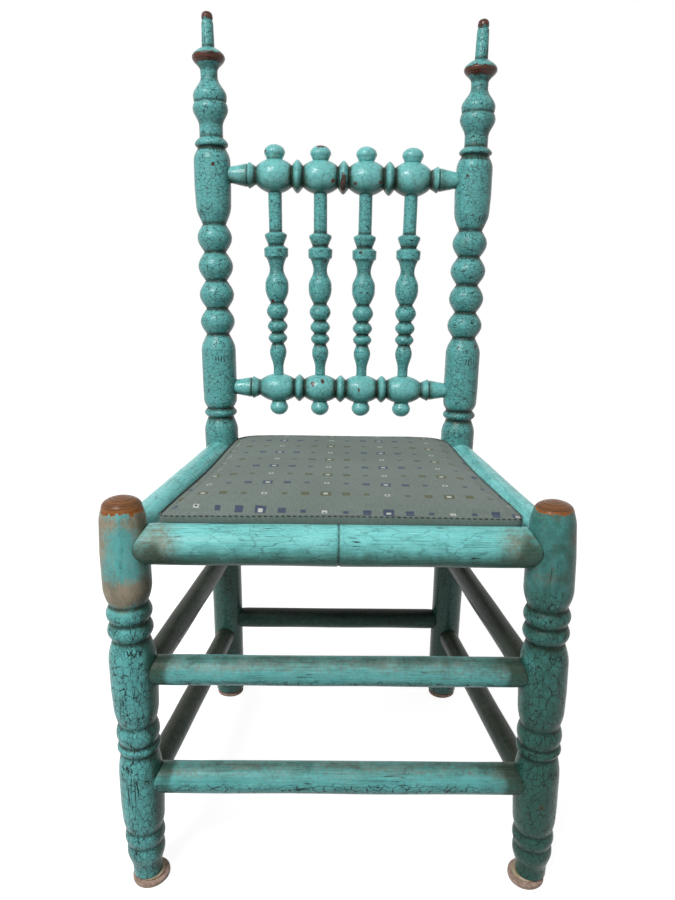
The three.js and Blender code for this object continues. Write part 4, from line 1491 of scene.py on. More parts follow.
@dataclass
class SeatFrame:
    """The four round seat rails."""

    front_radius: float = 22.0
    rail_radius: float = 20.0
    end_taper: float = 2.5
    front_scribe: Scribe = Scribe(0, 1.8, 1.4)
    side_scribe: Scribe = Scribe(4.5, 1.2, 1.0)
    front_wear: Wear = Wear(
        worn=(Patch(0.09, 24, 75, 110, 0.75), Patch(0.91, 24, 75, 110, 0.7)),
        # Painted shade along the lower front of the rail and beside the legs at both ends.
        dirty=(Patch(0.5, ALL_ALONG, 143, 62, 0.95), Patch(0.93, 7, 90, 120, 0.6),
               Patch(0.08, 6, 110, 90, 0.4)))

    def build(self, uprights: Uprights, paint: Material) -> None:
        """Makes the rails.

        Args:
            uprights: the legs and posts that they run between.
            paint: their finish.
        """
        legs, posts = uprights.legs, uprights.posts
        front = self.rail("front", self.front_radius, (self.front_scribe,), self.front_wear)
        front.build(legs["left"], legs["right"], paint)
        self.rail("rear", self.rail_radius).build(posts["left"], posts["right"], paint)
        scribes = (replace(self.side_scribe, offset=-self.side_scribe.offset), self.side_scribe)
        for name, way in SIDES.items():
            wear = Wear(worn=(Patch(0.5, 400, way * 85, 45, 0.62),),
                        dirty=(Patch(0.5, ALL_ALONG, way * 110, 60, 0.3),))
            self.rail(name, self.rail_radius, scribes, wear).build(legs[name], posts[name], paint)

    def rail(self, side: str, radius: float, scribes: tuple[Scribe, ...] = (),
             wear: Wear = Wear()) -> Bar:
        """A rail with its crest at the seat's height."""
        return Bar(f"{side}_seat_rail", PLAN.seat_top - radius, radius, radius - self.end_taper,
                   scribes, wear)


@dataclass(frozen=True)
class SideBar:
    """A bar that both sides have."""

    level: str
    height: float
    rubbed: float  # how worn its outer face is
    # how dark the whole bar is made, by dirt and painted shade
    soiled: float
    radius: float = 15.0
    end_radius: float = 12.0

    def bar(self, side: str, way: int) -> Bar:
        """The bar of one side."""
        wear = Wear(worn=(Patch(0.5, ALL_ALONG, way * 20, 110, self.rubbed),),
                    dirty=(Patch(0.5, ALL_ALONG, strength=self.soiled),))
        name = f"{side}_{self.level}_stretcher"
        return Bar(name, self.height, self.radius, self.end_radius, wear=wear)


@dataclass
class Stretchers:
    """The seven bars between the legs below the seat."""

    front: tuple[Bar, ...] = (
        Bar("front_upper_stretcher", 276.0, 16.4, 13.5, wear=Wear(
            worn=(Patch(0.5, ALL_ALONG, 25, 62, 0.62), Patch(0.03, 22, 90, strength=0.4),
                  Patch(0.97, 30, 90, strength=0.4)),
            # Dirt on top; painted shade underneath, beside the legs at both ends and over the right
            # end.
            dirty=(Patch(0.5, ALL_ALONG, 5, 42, 0.5), Patch(0.97, 50, 90, strength=0.4),
                   Patch(0.5, ALL_ALONG, 175, 50, 0.4), Patch(0.07, 8, 90, strength=0.9),
                   Patch(0.93, 9, 90, strength=0.9)))),
        Bar("front_lower_stretcher", 137.3, 17.6, 14.5, wear=Wear(
            worn=(Patch(0.45, ALL_ALONG, 12, 52, 0.6), Patch(0.95, 24, 90, strength=0.5)),
            # Dirt on top; painted shade underneath, beside the legs at both ends and over the right
            # end.
            dirty=(Patch(0.5, ALL_ALONG, 0, 40, 0.4), Patch(0.97, 60, 90, strength=0.45),
                   Patch(0.5, ALL_ALONG, 175, 45, 0.3), Patch(0.07, 7, 90, strength=0.7),
                   Patch(0.93, 7, 90, strength=0.6)))),
    )
    rear: Bar = Bar("rear_stretcher", 136.9, 16.0, 12.0, wear=Wear(
        # Its patches on top and below make it near-black: painted shade under the seat.
        worn=(Patch(0.5, ALL_ALONG, 12, 50, 0.9),),
        dirty=(Patch(0.5, ALL_ALONG, 10, 80, 1.0), Patch(0.5, ALL_ALONG, 180, 60, 0.3))))
    sides: tuple[SideBar, ...] = (SideBar("upper", 252.5, 0.85, 0.85),
                                  SideBar("lower", 113.6, 0.8, 0.7))

    def build(self, uprights: Uprights, front: Material, side: Material,
              rear: Material) -> None:
        """Makes the bars.

        Args:
            uprights: the legs and posts that they run between.
            front: finish of the two in front.
            side: that of the two on each side.
            rear: that of the one behind.
        """
        legs, posts = uprights.legs, uprights.posts
        for bar in self.front:
            bar.build(legs["left"], legs["right"], front)
        self.rear.build(posts["left"], posts["right"], rear)
        for name, way in SIDES.items():
            for each in self.sides:
                each.bar(name, way).build(legs[name], posts[name], side)


@dataclass(frozen=True)
class BackRail:
    """A turned back rail: balls with sharp discs between them, and ringed, coned ends."""

    name: str
    height: float  # at its middle
    drop: float  # how much lower its right end is
    pitch: float
    ball_radius: float
    neck_radius: float
    disc_radius: float
    disc_half_base: float
    end_neck_radius: float
    ring_radius: float
    ring_place: float  # its sharp edge, from the middle of the rail
    ring_slope: float  # from that edge down to the neck of the last ball
    ring_lip: float  # from the edge to the bottom of the groove beyond it
    groove_radius: float
    cone_length: float
    cone_radius: float
    tip_radius: float
    ball_power: float = 0.75
    disc_power: float = 1.5
    dirt_place: float = 10.0  # how far from each disc the dirt and painted shade on the balls lie
    dirt_length: float = 7.0

    def disc(self, place: float) -> Array:
        """A lens: its edge less a fall by a power of the distance from its middle plane."""
        share = np.linspace(-1, 1, 41)
        fall = (self.disc_radius - self.neck_radius) * np.abs(share) ** self.disc_power
        return np.stack([self.disc_radius - fall, place + share * self.disc_half_base], axis=1)

    def ball(self, start: Array, end: Array) -> Array:
        """A ball between two necks: a straight run plus a power of a half sine wave.

        Args:
            start: (radius, place) of the neck before it.
            end: that of the neck after it.

        Returns:
            Rows of (radius, place).
        """
        share = np.linspace(0, 1, 60)[1:-1, None]
        points = start + (end - start) * share
        swell = self.ball_radius - (start[0] + end[0]) / 2
        points[:, :1] += swell * np.sin(np.pi * share) ** self.ball_power
        return points

    def end(self, stop: float) -> Array:
        """The ring, the groove and the cone.

        Args:
            stop: where the post's wood begins, from the middle of the rail.

        Returns:
            Rows of (radius, place).
        """
        cone = self.ring_place + 2 * self.ring_lip
        return np.array([
            [self.end_neck_radius, self.ring_place - self.ring_slope],
            [self.ring_radius, self.ring_place],
            [self.cone_radius + 0.9, self.ring_place + self.ring_lip * 0.75],
            [self.groove_radius, self.ring_place + self.ring_lip * 0.95],
            [self.groove_radius, self.ring_place + self.ring_lip * 1.25],
            [self.cone_radius, cone - self.ring_lip * 0.4],
            [self.tip_radius, cone + self.cone_length], [self.tip_radius, stop],
        ])

    @property
    def axis(self) -> Axis:
        """The axis from the left post's to the right post's."""
        return Axis(PLAN.rear(-1, self.height + self.drop / 2),
                    PLAN.rear(1, self.height - self.drop / 2), UP)

    def centre(self, index: int) -> Array:
        """The middle of a ball, counted from the left."""
        return self.axis.at(self.axis.length / 2 + (index - 1.5) * self.pitch)

    def build(self, posts: dict[str, Upright], paint: Material,
              chips: tuple[Patch, ...] = ()) -> None:
        """Makes the rail.

        Args:
            posts: the two that it runs between.
            paint: its finish.
            chips: with their places counted from its middle.
        """
        axis = self.axis
        girth = posts["left"].girth(self.height, self.tip_radius)
        half_length = axis.length / 2
        parts = [self.disc(0)[20:], self.disc(self.pitch), self.end(half_length - girth)]
        right = np.concatenate([parts[0], self.ball(parts[0][-1], parts[1][0]), parts[1],
                                self.ball(parts[1][-1], parts[2][0]), parts[2]])
        left = right[1:][::-1] * (1, -1)
        outline = np.concatenate([left, right]) + (0, half_length)
        # Painted shade under the rail, and dirt with painted shade in the necks beside each disc.
        dirt = (Patch(disc * self.pitch + side * self.dirt_place, self.dirt_length, strength=0.4)
                for disc in range(-2, 3) for side in (-1, 1))
        wear = Wear(chips=chips, dirty=(Patch(0, ALL_ALONG, 172, 62, 0.75), *dirt))
        Turning(f"{self.name}_turned", outline, axis, columns=80, step=0.8, edge=0.5, uneven=0.3,
                wear=wear.along(1.0, half_length),
                copes=(Cope(girth, girth, 1), Cope(axis.length - girth, girth, -1))).build(paint)


@dataclass
class Back:
    """The back: two turned rails, four spindles between their balls, and a knob on each ball."""

    top: BackRail = BackRail(
        "back_top_rail", height=840.8, drop=3.6, pitch=67.6, ball_radius=25.1, neck_radius=14.8,
        disc_radius=23.8, disc_half_base=8.4, end_neck_radius=12.4, ring_radius=18.6,
        ring_place=138.1, ring_slope=9.6, ring_lip=2.6, groove_radius=15.2, cone_length=21.0,
        cone_radius=16.3, tip_radius=11.7)
    bottom: BackRail = BackRail(
        "back_bottom_rail", height=528.2, drop=2.2, pitch=64.3, ball_radius=22.3, neck_radius=13.9,
        disc_radius=21.4, disc_half_base=7.9, end_neck_radius=11.8, ring_radius=17.2,
        ring_place=135.6, ring_slope=10.5, ring_lip=2.6, groove_radius=14.2, cone_length=22.0,
        cone_radius=15.5, tip_radius=11.5)
    spindle_count: int = 4
    spindle_radius: float = 18.4
    spindle_foot_share: float = 0.434
    sunk: float = 0.4  # how far a spindle or knob is let into its ball
    knob_foot_share: float = 0.68
    top_knob: tuple[float, float] = (15.5, 18.8)
    bottom_knob: tuple[float, float] = (14.4, 21.2)

    spindle_drops = (0.8, 1.2, 2.0, 0.5)  # how much lower the middle of each spindle was turned
    spindle_chips = ((Patch(133, 3.6, -30, 13),), (Patch(192, 2, 30, 9),),
                     (Patch(206, 2, -20, 10),), ())
    ball_chips = {  # on each rail, their places from its middle and their angles from above
        "top": (Patch(-15, 3.5, 110, 9), Patch(17, 3, 118, 8), Patch(0, 5, 125, 55),
                Patch(54, 3, 112, 8)),
        "bottom": (Patch(-43, 3.4, 63, 12), Patch(-28, 3.2, 52, 12), Patch(28, 2.2, 86, 8)),
    }
    knob_chips = ((Patch(33, 3, -58, 12),), (Patch(42, 4, 10, 60),), (), ())

    def build(self, posts: dict[str, Upright], rail_paint: Material,
              spindle_paint: Material) -> None:
        """Makes the rails, spindles and knobs.

        Args:
            posts: the two that the rails run between.
            rail_paint: finish of the rails and knobs.
            spindle_paint: that of the spindles.
        """
        self.top.build(posts, rail_paint, self.ball_chips["top"])
        self.bottom.build(posts, rail_paint, self.ball_chips["bottom"])
        for index in range(self.spindle_count):
            self.build_spindle(index, spindle_paint)
            self.build_knob(index, self.top, self.top_knob, 1, rail_paint)
            self.build_knob(index, self.bottom, self.bottom_knob, -1, rail_paint)

    def build_spindle(self, index: int, paint: Material) -> None:
        """Makes a spindle whose ends are hollowed to the balls that it stands between.

        Args:
            index: its number from the left.
            paint: its finish.
        """
        axis = Axis(self.bottom.centre(index), self.top.centre(index), FRONT)
        low = self.bottom.ball_radius - self.sunk
        high = axis.length - self.top.ball_radius + self.sunk
        outline = profile(SPINDLE_SHARES, self.spindle_foot_share, self.spindle_radius, low, high,
                          0.6)
        up = (outline[:, 1] - low) / (high - low)
        outline[:, 1] -= self.spindle_drops[index] * np.sin(np.pi * np.clip(up, 0, 1)) ** 0.5
        # Painted shade down the right side of each spindle.
        wear = Wear(chips=self.spindle_chips[index], dirty=(Patch(low + 150, 600, 100, 46, 0.5),))
        copes = (Cope(low, self.bottom.ball_radius, 1, ball=True, reach=5.0),
                 Cope(high, self.top.ball_radius, -1, ball=True, reach=5.0))
        Turning(f"spindle_{index + 1}_turned", outline, axis, columns=56, step=0.7, edge=0.5,
                wear=wear, copes=copes).build(paint)

    def build_knob(self, index: int, rail: BackRail, size: tuple[float, float], way: int,
                   paint: Material) -> None:
        """Makes a button on a ball.

        Args:
            index: number of the ball from the left.
            rail: the rail that has the ball.
            size: the button's radius and height.
            way: 1 for up, -1 for down.
            paint: its finish.
        """
        radius, height = size
        centre = rail.centre(index)
        low = rail.ball_radius - self.sunk
        outline = profile(KNOB_SHARES, self.knob_foot_share, radius, low, low + height, 0.5)
        name = f"{'top' if way > 0 else 'bottom'}_knob_{index + 1}"
        wear = Wear(chips=self.knob_chips[index] if way > 0 else ())
        Turning(f"{name}_turned", outline, Axis(centre, centre + UP * way, FRONT), columns=56,
                step=0.6, edge=0.6, uneven=0.35, wear=wear,
                copes=(Cope(low, rail.ball_radius, 1, ball=True, reach=4.0),)).build(paint)


@dataclass
class Glides:
    """A wooden collar under each foot and a felt disc under the collar."""

    felt_radius: float = 21.5
    felt_thickness: float = 5.0
    collar_radius: float = 16.0
    collar_thickness: float = 3.0
    gap: float = 0.3
    felt_uneven: float = 0.45
    collar_uneven: float = 0.15
    insets = {"left": 3.4, "right": 6.0}  # how far the front glides are nailed inside the leg axes

    def build(self, wood: Material, felt: Material) -> None:
        """Makes the eight discs.

        Args:
            wood: finish of the collars.
            felt: that of the discs under them.
        """
        low = self.felt_thickness + self.gap
        felted = cylinder(self.felt_radius, 0, self.felt_thickness)
        turned = cylinder(self.collar_radius, low, low + self.collar_thickness)
        for name, side in SIDES.items():
            for end, place in (("front", PLAN.front), ("rear", PLAN.rear)):
                foot = place(side, 0) - (side * self.insets[name] * (end == "front"), 0, 0)
                for kind, outline, uneven, material, slot in (
                        ("felt", felted, self.felt_uneven, felt, "glide_felt"),
                        ("collar", turned, self.collar_uneven, wood, "glide_wood")):
                    Turning(f"{name}_{end}_glide_{kind}_disc", outline, Axis(foot, foot + UP, FRONT),
                            columns=80, step=0.5, edge=0.6, uneven=uneven).build(material, slot)


@dataclass
class Seat:
    """The pad, a sewn cover over thin stuffing, and the board under it."""

    front_half_width: float = 194.0
    rear_half_width: float = 158.0
    front_edge: float = 9.0  # behind the front leg axes
    rear_edge: float = 388.0
    front_corner: float = 9.0
    rear_corner: float = 40.0
    drawn_in: float = 4.0
    underside: float = 447.3
    board_thickness: float = 4.0
    board_inset: float = 5.0
    gap: float = 0.3
    band_height: float = 6.5
    band_inset: float = 1.5
    band_turn: float = 2.2
    droop: float = 8.0  # the most that the front of the underside sags onto the round rail
    corner_shifts: tuple[float, ...] = (-4.2, 0.0, 5.5, 0.0)  # of each corner, to the right
    crown: float = 11.0
    crown_power: float = 6.0
    columns: int = 560
    crown_rings: int = 84
    seam_depth: float = 1.1
    seam_half_width: float = 1.3
    seam_pull: float = 0.35  # how far the crown sinks with the seam, as a share of its depth
    gather: float = 0.5  # height of the folds along the seam
    gather_reach: float = 11.0  # from the seam to where they have mostly died away
    ripple: float = 0.22  # height of the crown's slow unevenness
    rail_gap: float = 0.15  # between the sagging underside and the front rail
    lift: tuple[float, float] = (-2.5, 1.6)  # least and most that the simulation moves the crown
    cloth_move: float = 6.0  # the most that a point of the simulated form moves
    pattern_place: tuple[float, float] = (-86.0, 23.0)
    pattern_turn: float = -0.026
    stitch_pitch: float = 6.2
    stitch_length: float = 4.0
    stitch_radius: float = 0.55
    stitch_drop: float = 0.7  # below the seam

    def corners(self) -> Array:
        """Corners of the straight sides, anticlockwise.

        Returns:
            Rows of (x, y, radius of the rounding).
        """
        front, rear = self.front_edge + PLAN.front_line, self.rear_edge + PLAN.front_line
        rows = np.array([[PLAN.middle - self.front_half_width, front, self.front_corner],
                         [PLAN.middle + self.front_half_width, front, self.front_corner],
                         [PLAN.middle + self.rear_half_width, rear, self.rear_corner],
                         [PLAN.middle - self.rear_half_width, rear, self.rear_corner]])
        rows[:, 0] += self.corner_shifts
        return rows

    def outline(self, inset: float, columns: int) -> Array:
        """The outline in plan: arcs at the corners, and sides drawn in by a squared sine.

        Args:
            inset: how far inwards the arcs lie.
            columns: number of points, evenly spread.

        Returns:
            Rows of (x, y).
        """
        corners = self.corners()
        places, radii = corners[:, :2], corners[:, 2]
        sides = np.roll(places, -1, axis=0) - places
        normals = np.stack([sides[:, 1], -sides[:, 0]], axis=1) / np.hypot(*sides.T)[:, None]
        pieces = []
        for k in range(4):
            before, after = normals[k - 1], normals[k]
            facing = before @ after
            centre = places[k] - (before + after) * radii[k] / (1 + facing)
            start = math.atan2(before[1], before[0])
            angle = start + math.acos(facing) * np.linspace(0, 1, 24)
            arc = np.stack([np.cos(angle), np.sin(angle)], axis=1)
            pieces.append(centre + (radii[k] - inset) * arc)
        line = []
        for k in range(4):
            start, end = pieces[k][-1], pieces[(k + 1) % 4][0]
            share = np.linspace(0, 1, 80)[1:-1, None]
            drawn = self.drawn_in * np.sin(np.pi * share) ** 2
            line += [pieces[k], start + (end - start) * share - normals[k] * drawn]
        loop = np.concatenate([*line, pieces[0][:1]])
        length = lengths(loop)
        return read_line(np.linspace(0, length[-1], columns, endpoint=False), length, loop)

    @property
    def seam(self) -> float:
        """Height of the seam."""
        return self.underside + self.band_height

    @property
    def middle(self) -> Array:
        """The middle of the pad in plan."""
        return np.array([PLAN.middle, (self.front_edge + self.rear_edge) / 2 + PLAN.front_line])

    def level(self, outline: Array, share: float, height: float) -> Array:
        """The points of an outline drawn towards the middle to a share of its size."""
        flat = self.middle + (outline - self.middle) * share
        return np.concatenate([flat, np.full((len(flat), 1), height)], axis=1)

    def cover(self, columns: int, rings: int) -> tuple[Array, Array]:
        """The cover as a grid from the middle of its underside to the middle of its crown.

        The crown's height falls by a power of the share of the way to the seam.

        Args:
            columns: points round the pad.
            rings: rows over the crown.

        Returns:
            The points, and for each row 1 on the crown, 0 below the seam.
        """
        edge = self.outline(0, columns)
        under = self.outline(self.band_inset, columns)
        recess = self.outline(self.board_inset - self.gap, columns)
        ceiling = self.underside + self.board_thickness + self.gap
        rows = [self.level(recess, share, ceiling) for share in np.linspace(0, 1, 12) ** 0.7]
        rows += [self.level(recess, 1, height)
                 for height in np.linspace(ceiling, self.underside, 5)[1:]]
        rows += [self.level(recess + (under - recess) * share, 1, self.underside)
                 for share in np.linspace(0, 1, 4)[1:]]
        turn = np.linspace(0, np.pi / 2, 7)[1:]
        low = self.seam - self.band_turn
        rise = low - self.underside
        rows += [self.level(under + (edge - under) * math.sin(angle), 1,
                            self.underside + rise * (1 - math.cos(angle))) for angle in turn]
        rows += [self.level(edge, 1, height) for height in np.linspace(low, self.seam, 6)[1:]]
        below = len(rows)
        shares = np.sin(np.linspace(np.pi / 2, 0, rings))
        shares = np.concatenate([np.linspace(1, shares[7], 14)[1:], shares[8:]])
        rows += [self.level(edge, share, self.seam + self.crown * (1 - share ** self.crown_power))
                 for share in shares]
        return np.stack(rows), (np.arange(len(rows)) >= below).astype(float)

    def swell(self, points: Array) -> Array:
        """Moves the crown to where cloth pressed from inside lies.

        A smaller closed form is remeshed, blown up a little as cloth, and read back by rays from
        above, with each move held to a few millimetres.

        Args:
            points: the cover's grid.

        Returns:
            The grid with its crown moved.
        """
        form = self.simulated()
        tree = BVHTree.FromObject(form, bpy.context.evaluated_depsgraph_get())
        bpy.data.objects.remove(form)
        moved = points.copy()
        crown = points[..., 2] > self.seam + 0.01
        flat = points[crown]
        hits = np.array([ray_height(tree, x, y) for x, y in flat[:, :2]])
        rise = np.clip(np.nan_to_num(hits - flat[:, 2], nan=-1.0), *self.lift)
        moved[crown, 2] += rise - np.median(rise)
        return moved

    def simulated(self) -> Object:
        """A pad form blown up as cloth under pressure.

        Returns:
            The smoothed form, with no modifiers left on it.
        """
        grid, _ = replace(self, board_thickness=0.6, gap=0.0, crown=self.crown - 3.0).cover(160, 24)
        grid[..., :2] = self.middle + (grid[..., :2] - self.middle) * 0.988
        start = closed_tube("pad_form", {"points": grid})
        made = changed_by(start, "REMESH", mode="VOXEL", voxel_size=5 * MM)
        before = read_points(made)
        settings = made.modifiers.new("cloth", "CLOTH").settings
        settings.quality = 5
        settings.use_pressure = True
        settings.uniform_pressure_force = 4.0
        settings.effector_weights.gravity = 0.0
        settings.tension_stiffness = settings.compression_stiffness = 12.0
        scene = bpy.context.scene
        for step in range(1, 21):
            scene.frame_set(step)
        after = read_points(made, evaluated=True)
        made.modifiers.clear()
        scene.frame_set(1)
        move = after - before
        size = np.linalg.norm(move, axis=1, keepdims=True)
        move *= np.minimum(1, self.cloth_move * MM / np.maximum(size, 1e-9))
        made.data.vertices.foreach_set("co", (before + move).astype(np.float32).ravel())
        made.data.update()
        return changed_by(made, "SUBSURF", levels=1, render_levels=1)

    def build(self, board_wood: Material, fabric: Material,
              thread: Material) -> None:
        """Makes the board, the pad and its stitches.

        Args:
            board_wood: finish of the board.
            fabric: that of the pad.
            thread: that of the stitches.
        """
        self.build_board(board_wood)
        points, crown = self.cover(self.columns, self.crown_rings)
        points = self.swell(points)
        self.build_pad(self.sewn(points), crown, fabric)
        self.build_stitches(thread)

    def sewn(self, points: Array) -> Array:
        """Draws the seam in and gathers the cloth along it.

        The groove is a bell about the seam's height and the edge. The gathers are waves round the pad
        whose height fades with the distance from the seam. In front the underside sags onto the
        round of the front rail.

        Args:
            points: the cover's grid.

        Returns:
            The moved grid.
        """
        edge = self.outline(0, points.shape[1])
        outward = unit(edge - np.roll(edge, 1, axis=0))
        outward = np.stack([outward[:, 1], -outward[:, 0]], axis=1)
        inside = np.linalg.norm(points[..., :2] - edge[None], axis=-1)
        rise = points[..., 2] - self.seam
        above = rise > -self.band_turn * 1.6
        distance = np.hypot(inside, rise)
        groove = self.seam_depth * np.exp(-((distance / self.seam_half_width) ** 2)) * above
        dice = np.random.default_rng(21)
        round_it = np.linspace(0, 2 * np.pi, points.shape[1], endpoint=False)
        wave = sum(np.sin(round_it * turns + dice.uniform(0, 6.28)) * dice.uniform(0.3, 1.0)
                   for turns in (37, 53, 71, 88, 113)) / 2.2
        crown = rise > 0
        gather = self.gather * wave[None] * np.exp(-inside / self.gather_reach)
        gather = gather * np.clip(inside / 2.5, 0, 1) * crown
        slow = sum(np.sin(points[..., 0] / dice.uniform(26, 60)
                          + points[..., 1] / dice.uniform(26, 60)
                          + dice.uniform(0, 6.28)) for _ in range(5)) * self.ripple * crown
        moved = points.copy()
        moved[..., :2] -= groove[..., None] * outward[None]
        moved[..., 2] += gather + slow * np.clip(inside / 20, 0, 1)
        moved[..., 2] -= self.seam_pull * groove * crown
        moved[..., 2] = np.maximum(moved[..., 2], np.where(crown, self.seam - 0.4, -np.inf))
        behind = moved[..., 1] - PLAN.front_line
        rail = SeatFrame.front_radius
        crest = PLAN.seat_top - rail + np.sqrt(np.maximum(rail ** 2 - behind ** 2, 0))
        under = np.clip((self.seam - self.band_turn - moved[..., 2])
                        / (self.band_height - self.band_turn), 0, 1)
        near = np.clip(1 - (inside - 2 * self.band_inset) / 6, 0, 1)
        near *= 1 - smooth_step(19, 30, behind)
        sag = np.clip(self.underside - crest - self.rail_gap, 0, self.droop)
        moved[..., 2] -= sag * near * under
        moved[0], moved[-1] = moved[0].mean(axis=0), moved[-1].mean(axis=0)
        return moved

    def build_pad(self, points: Array, crown: Array, fabric: Material) -> None:
        """Makes the pad with the places that its cloth is drawn by.

        Args:
            points: the cover's grid.
            crown: for each row, 1 on the crown and 0 below the seam.
            fabric: its finish.
        """
        x, y, z = np.moveaxis(points, -1, 0)
        down = np.where(crown[:, None] > 0, 0, self.seam - z)
        side = np.abs(x) > np.abs(y - self.middle[1]) + 4
        cloth = np.stack([x + np.sign(x) * down * side,
                          y + np.sign(y - self.middle[1]) * down * ~side, 0 * x], axis=-1)
        turned = x - self.pattern_place[0] + self.pattern_turn * (y - self.middle[1])
        ahead = y - PLAN.front_line - self.pattern_place[1] - self.pattern_turn * x
        pad = closed_tube("seat_pad_cover", {
            "points": points, "cloth": cloth * MM,
            "pattern": np.stack([turned, ahead, 0 * x], axis=-1) * MM,
            "crown": crown[:, None] + 0 * x,
        })
        hand_over(pad, fabric, "pad_fabric", ("seat_cushion",))

    def build_stitches(self, thread: Material) -> None:
        """Makes the row of stitches under the seam: short bent capsules laid along the edge.

        Args:
            thread: their finish.
        """
        edge = self.outline(-0.1, 2 * self.columns)
        loop = np.vstack([edge, edge[:1]])
        length = lengths(loop)
        pieces = int(length[-1] / self.stitch_pitch)
        starts = np.linspace(0, length[-1], pieces, endpoint=False)
        steps, sides = 9, 8
        share = np.linspace(0, 1, steps)
        along = (starts[:, None] + share[None] * self.stitch_length) % length[-1]
        line = read_line(along, length, loop)
        thick = self.stitch_radius * np.sqrt(np.clip(1 - (2 * share - 1) ** 2, 0, 1)) ** 0.6
        tangent = unit(np.gradient(line, axis=1))
        out = np.stack([tangent[..., 1], -tangent[..., 0]], axis=-1)
        height = self.seam - self.stitch_drop
        angle = np.linspace(0, 2 * np.pi, sides, endpoint=False)
        thick = thick[None, :, None]
        flat = line[:, :, None, :] + out[:, :, None, :] * (thick * np.cos(angle))[..., None]
        tall = height + thick * np.sin(angle) + 0 * flat[..., 0]
        points = np.concatenate([flat, tall[..., None]], axis=-1)
        ids = np.arange(pieces * steps * sides).reshape(pieces, steps, sides)
        after = np.roll(ids, -1, axis=2)
        quads = np.stack([ids[:, :-1], ids[:, 1:], after[:, 1:], after[:, :-1]], axis=-1)
        name = "seat_pad_stitches"
        mesh = mesh_of(name, points.reshape(-1, 3) * MM, [quads.reshape(-1, 4)])
        hand_over(link(name, mesh), thread, "pad_fabric")

    def build_board(self, wood: Material) -> None:
        """Makes the board: a slab of the pad's outline with softened edges.

        Args:
            wood: its finish.
        """
        edge = self.outline(self.board_inset, 320)
        low, high = self.underside, self.underside + self.board_thickness
        soft, half = 0.8, 190  # rounding of the edge, and about half the board's width
        inner = 1 - soft / half
        rows = [self.level(edge, share, low) for share in np.linspace(0, 1, 10) * inner]
        for angle in np.linspace(-np.pi / 2, np.pi / 2, 9)[1:-1]:
            share = 1 - soft / half * (1 - math.cos(angle))
            start = low + soft if angle < 0 else high - soft
            rows.append(self.level(edge, share, start + soft * math.sin(angle)))
        rows += [self.level(edge, share, high) for share in np.linspace(1, 0, 10) * inner]
        board = closed_tube("seat_board_slab", {"points": np.stack(rows)})
        hand_over(board, wood, "board_wood", ("seat_board",))


def read_points(made: Object, evaluated: bool = False) -> Array:
    """An object's points.

    Args:
        made: the object.
        evaluated: whether its live modifiers count.

    Returns:
        Rows of (x, y, z) in metres.
    """
    source = made.evaluated_get(bpy.context.evaluated_depsgraph_get()) if evaluated else made
    points = np.empty(len(source.data.vertices) * 3, np.float32)
    source.data.vertices.foreach_get("co", points)
    return points.reshape(-1, 3).astype(float)


def changed_by(made: Object, kind: str, **settings: object) -> Object:
    """Replaces an object by what a modifier makes of it.

    Args:
        made: the object.
        kind: of the modifier.
        **settings: of the modifier.

    Returns:
        The new object.
    """
    modifier = made.modifiers.new(kind.lower(), kind)
    for key, value in settings.items():
        setattr(modifier, key, value)
    changed = made.evaluated_get(bpy.context.evaluated_depsgraph_get())
    mesh, name = bpy.data.meshes.new_from_object(changed), made.name
    bpy.data.objects.remove(made)
    return link(name, mesh)


def ray_height(tree: BVHTree, x: float, y: float) -> float:
    """Height in mm where a ray from above meets the tree, or nan."""
    hit = tree.ray_cast((x * MM, y * MM, 0.6), (0, 0, -1))
    return hit[0][2] / MM if hit[0] is not None else math.nan


# Studio

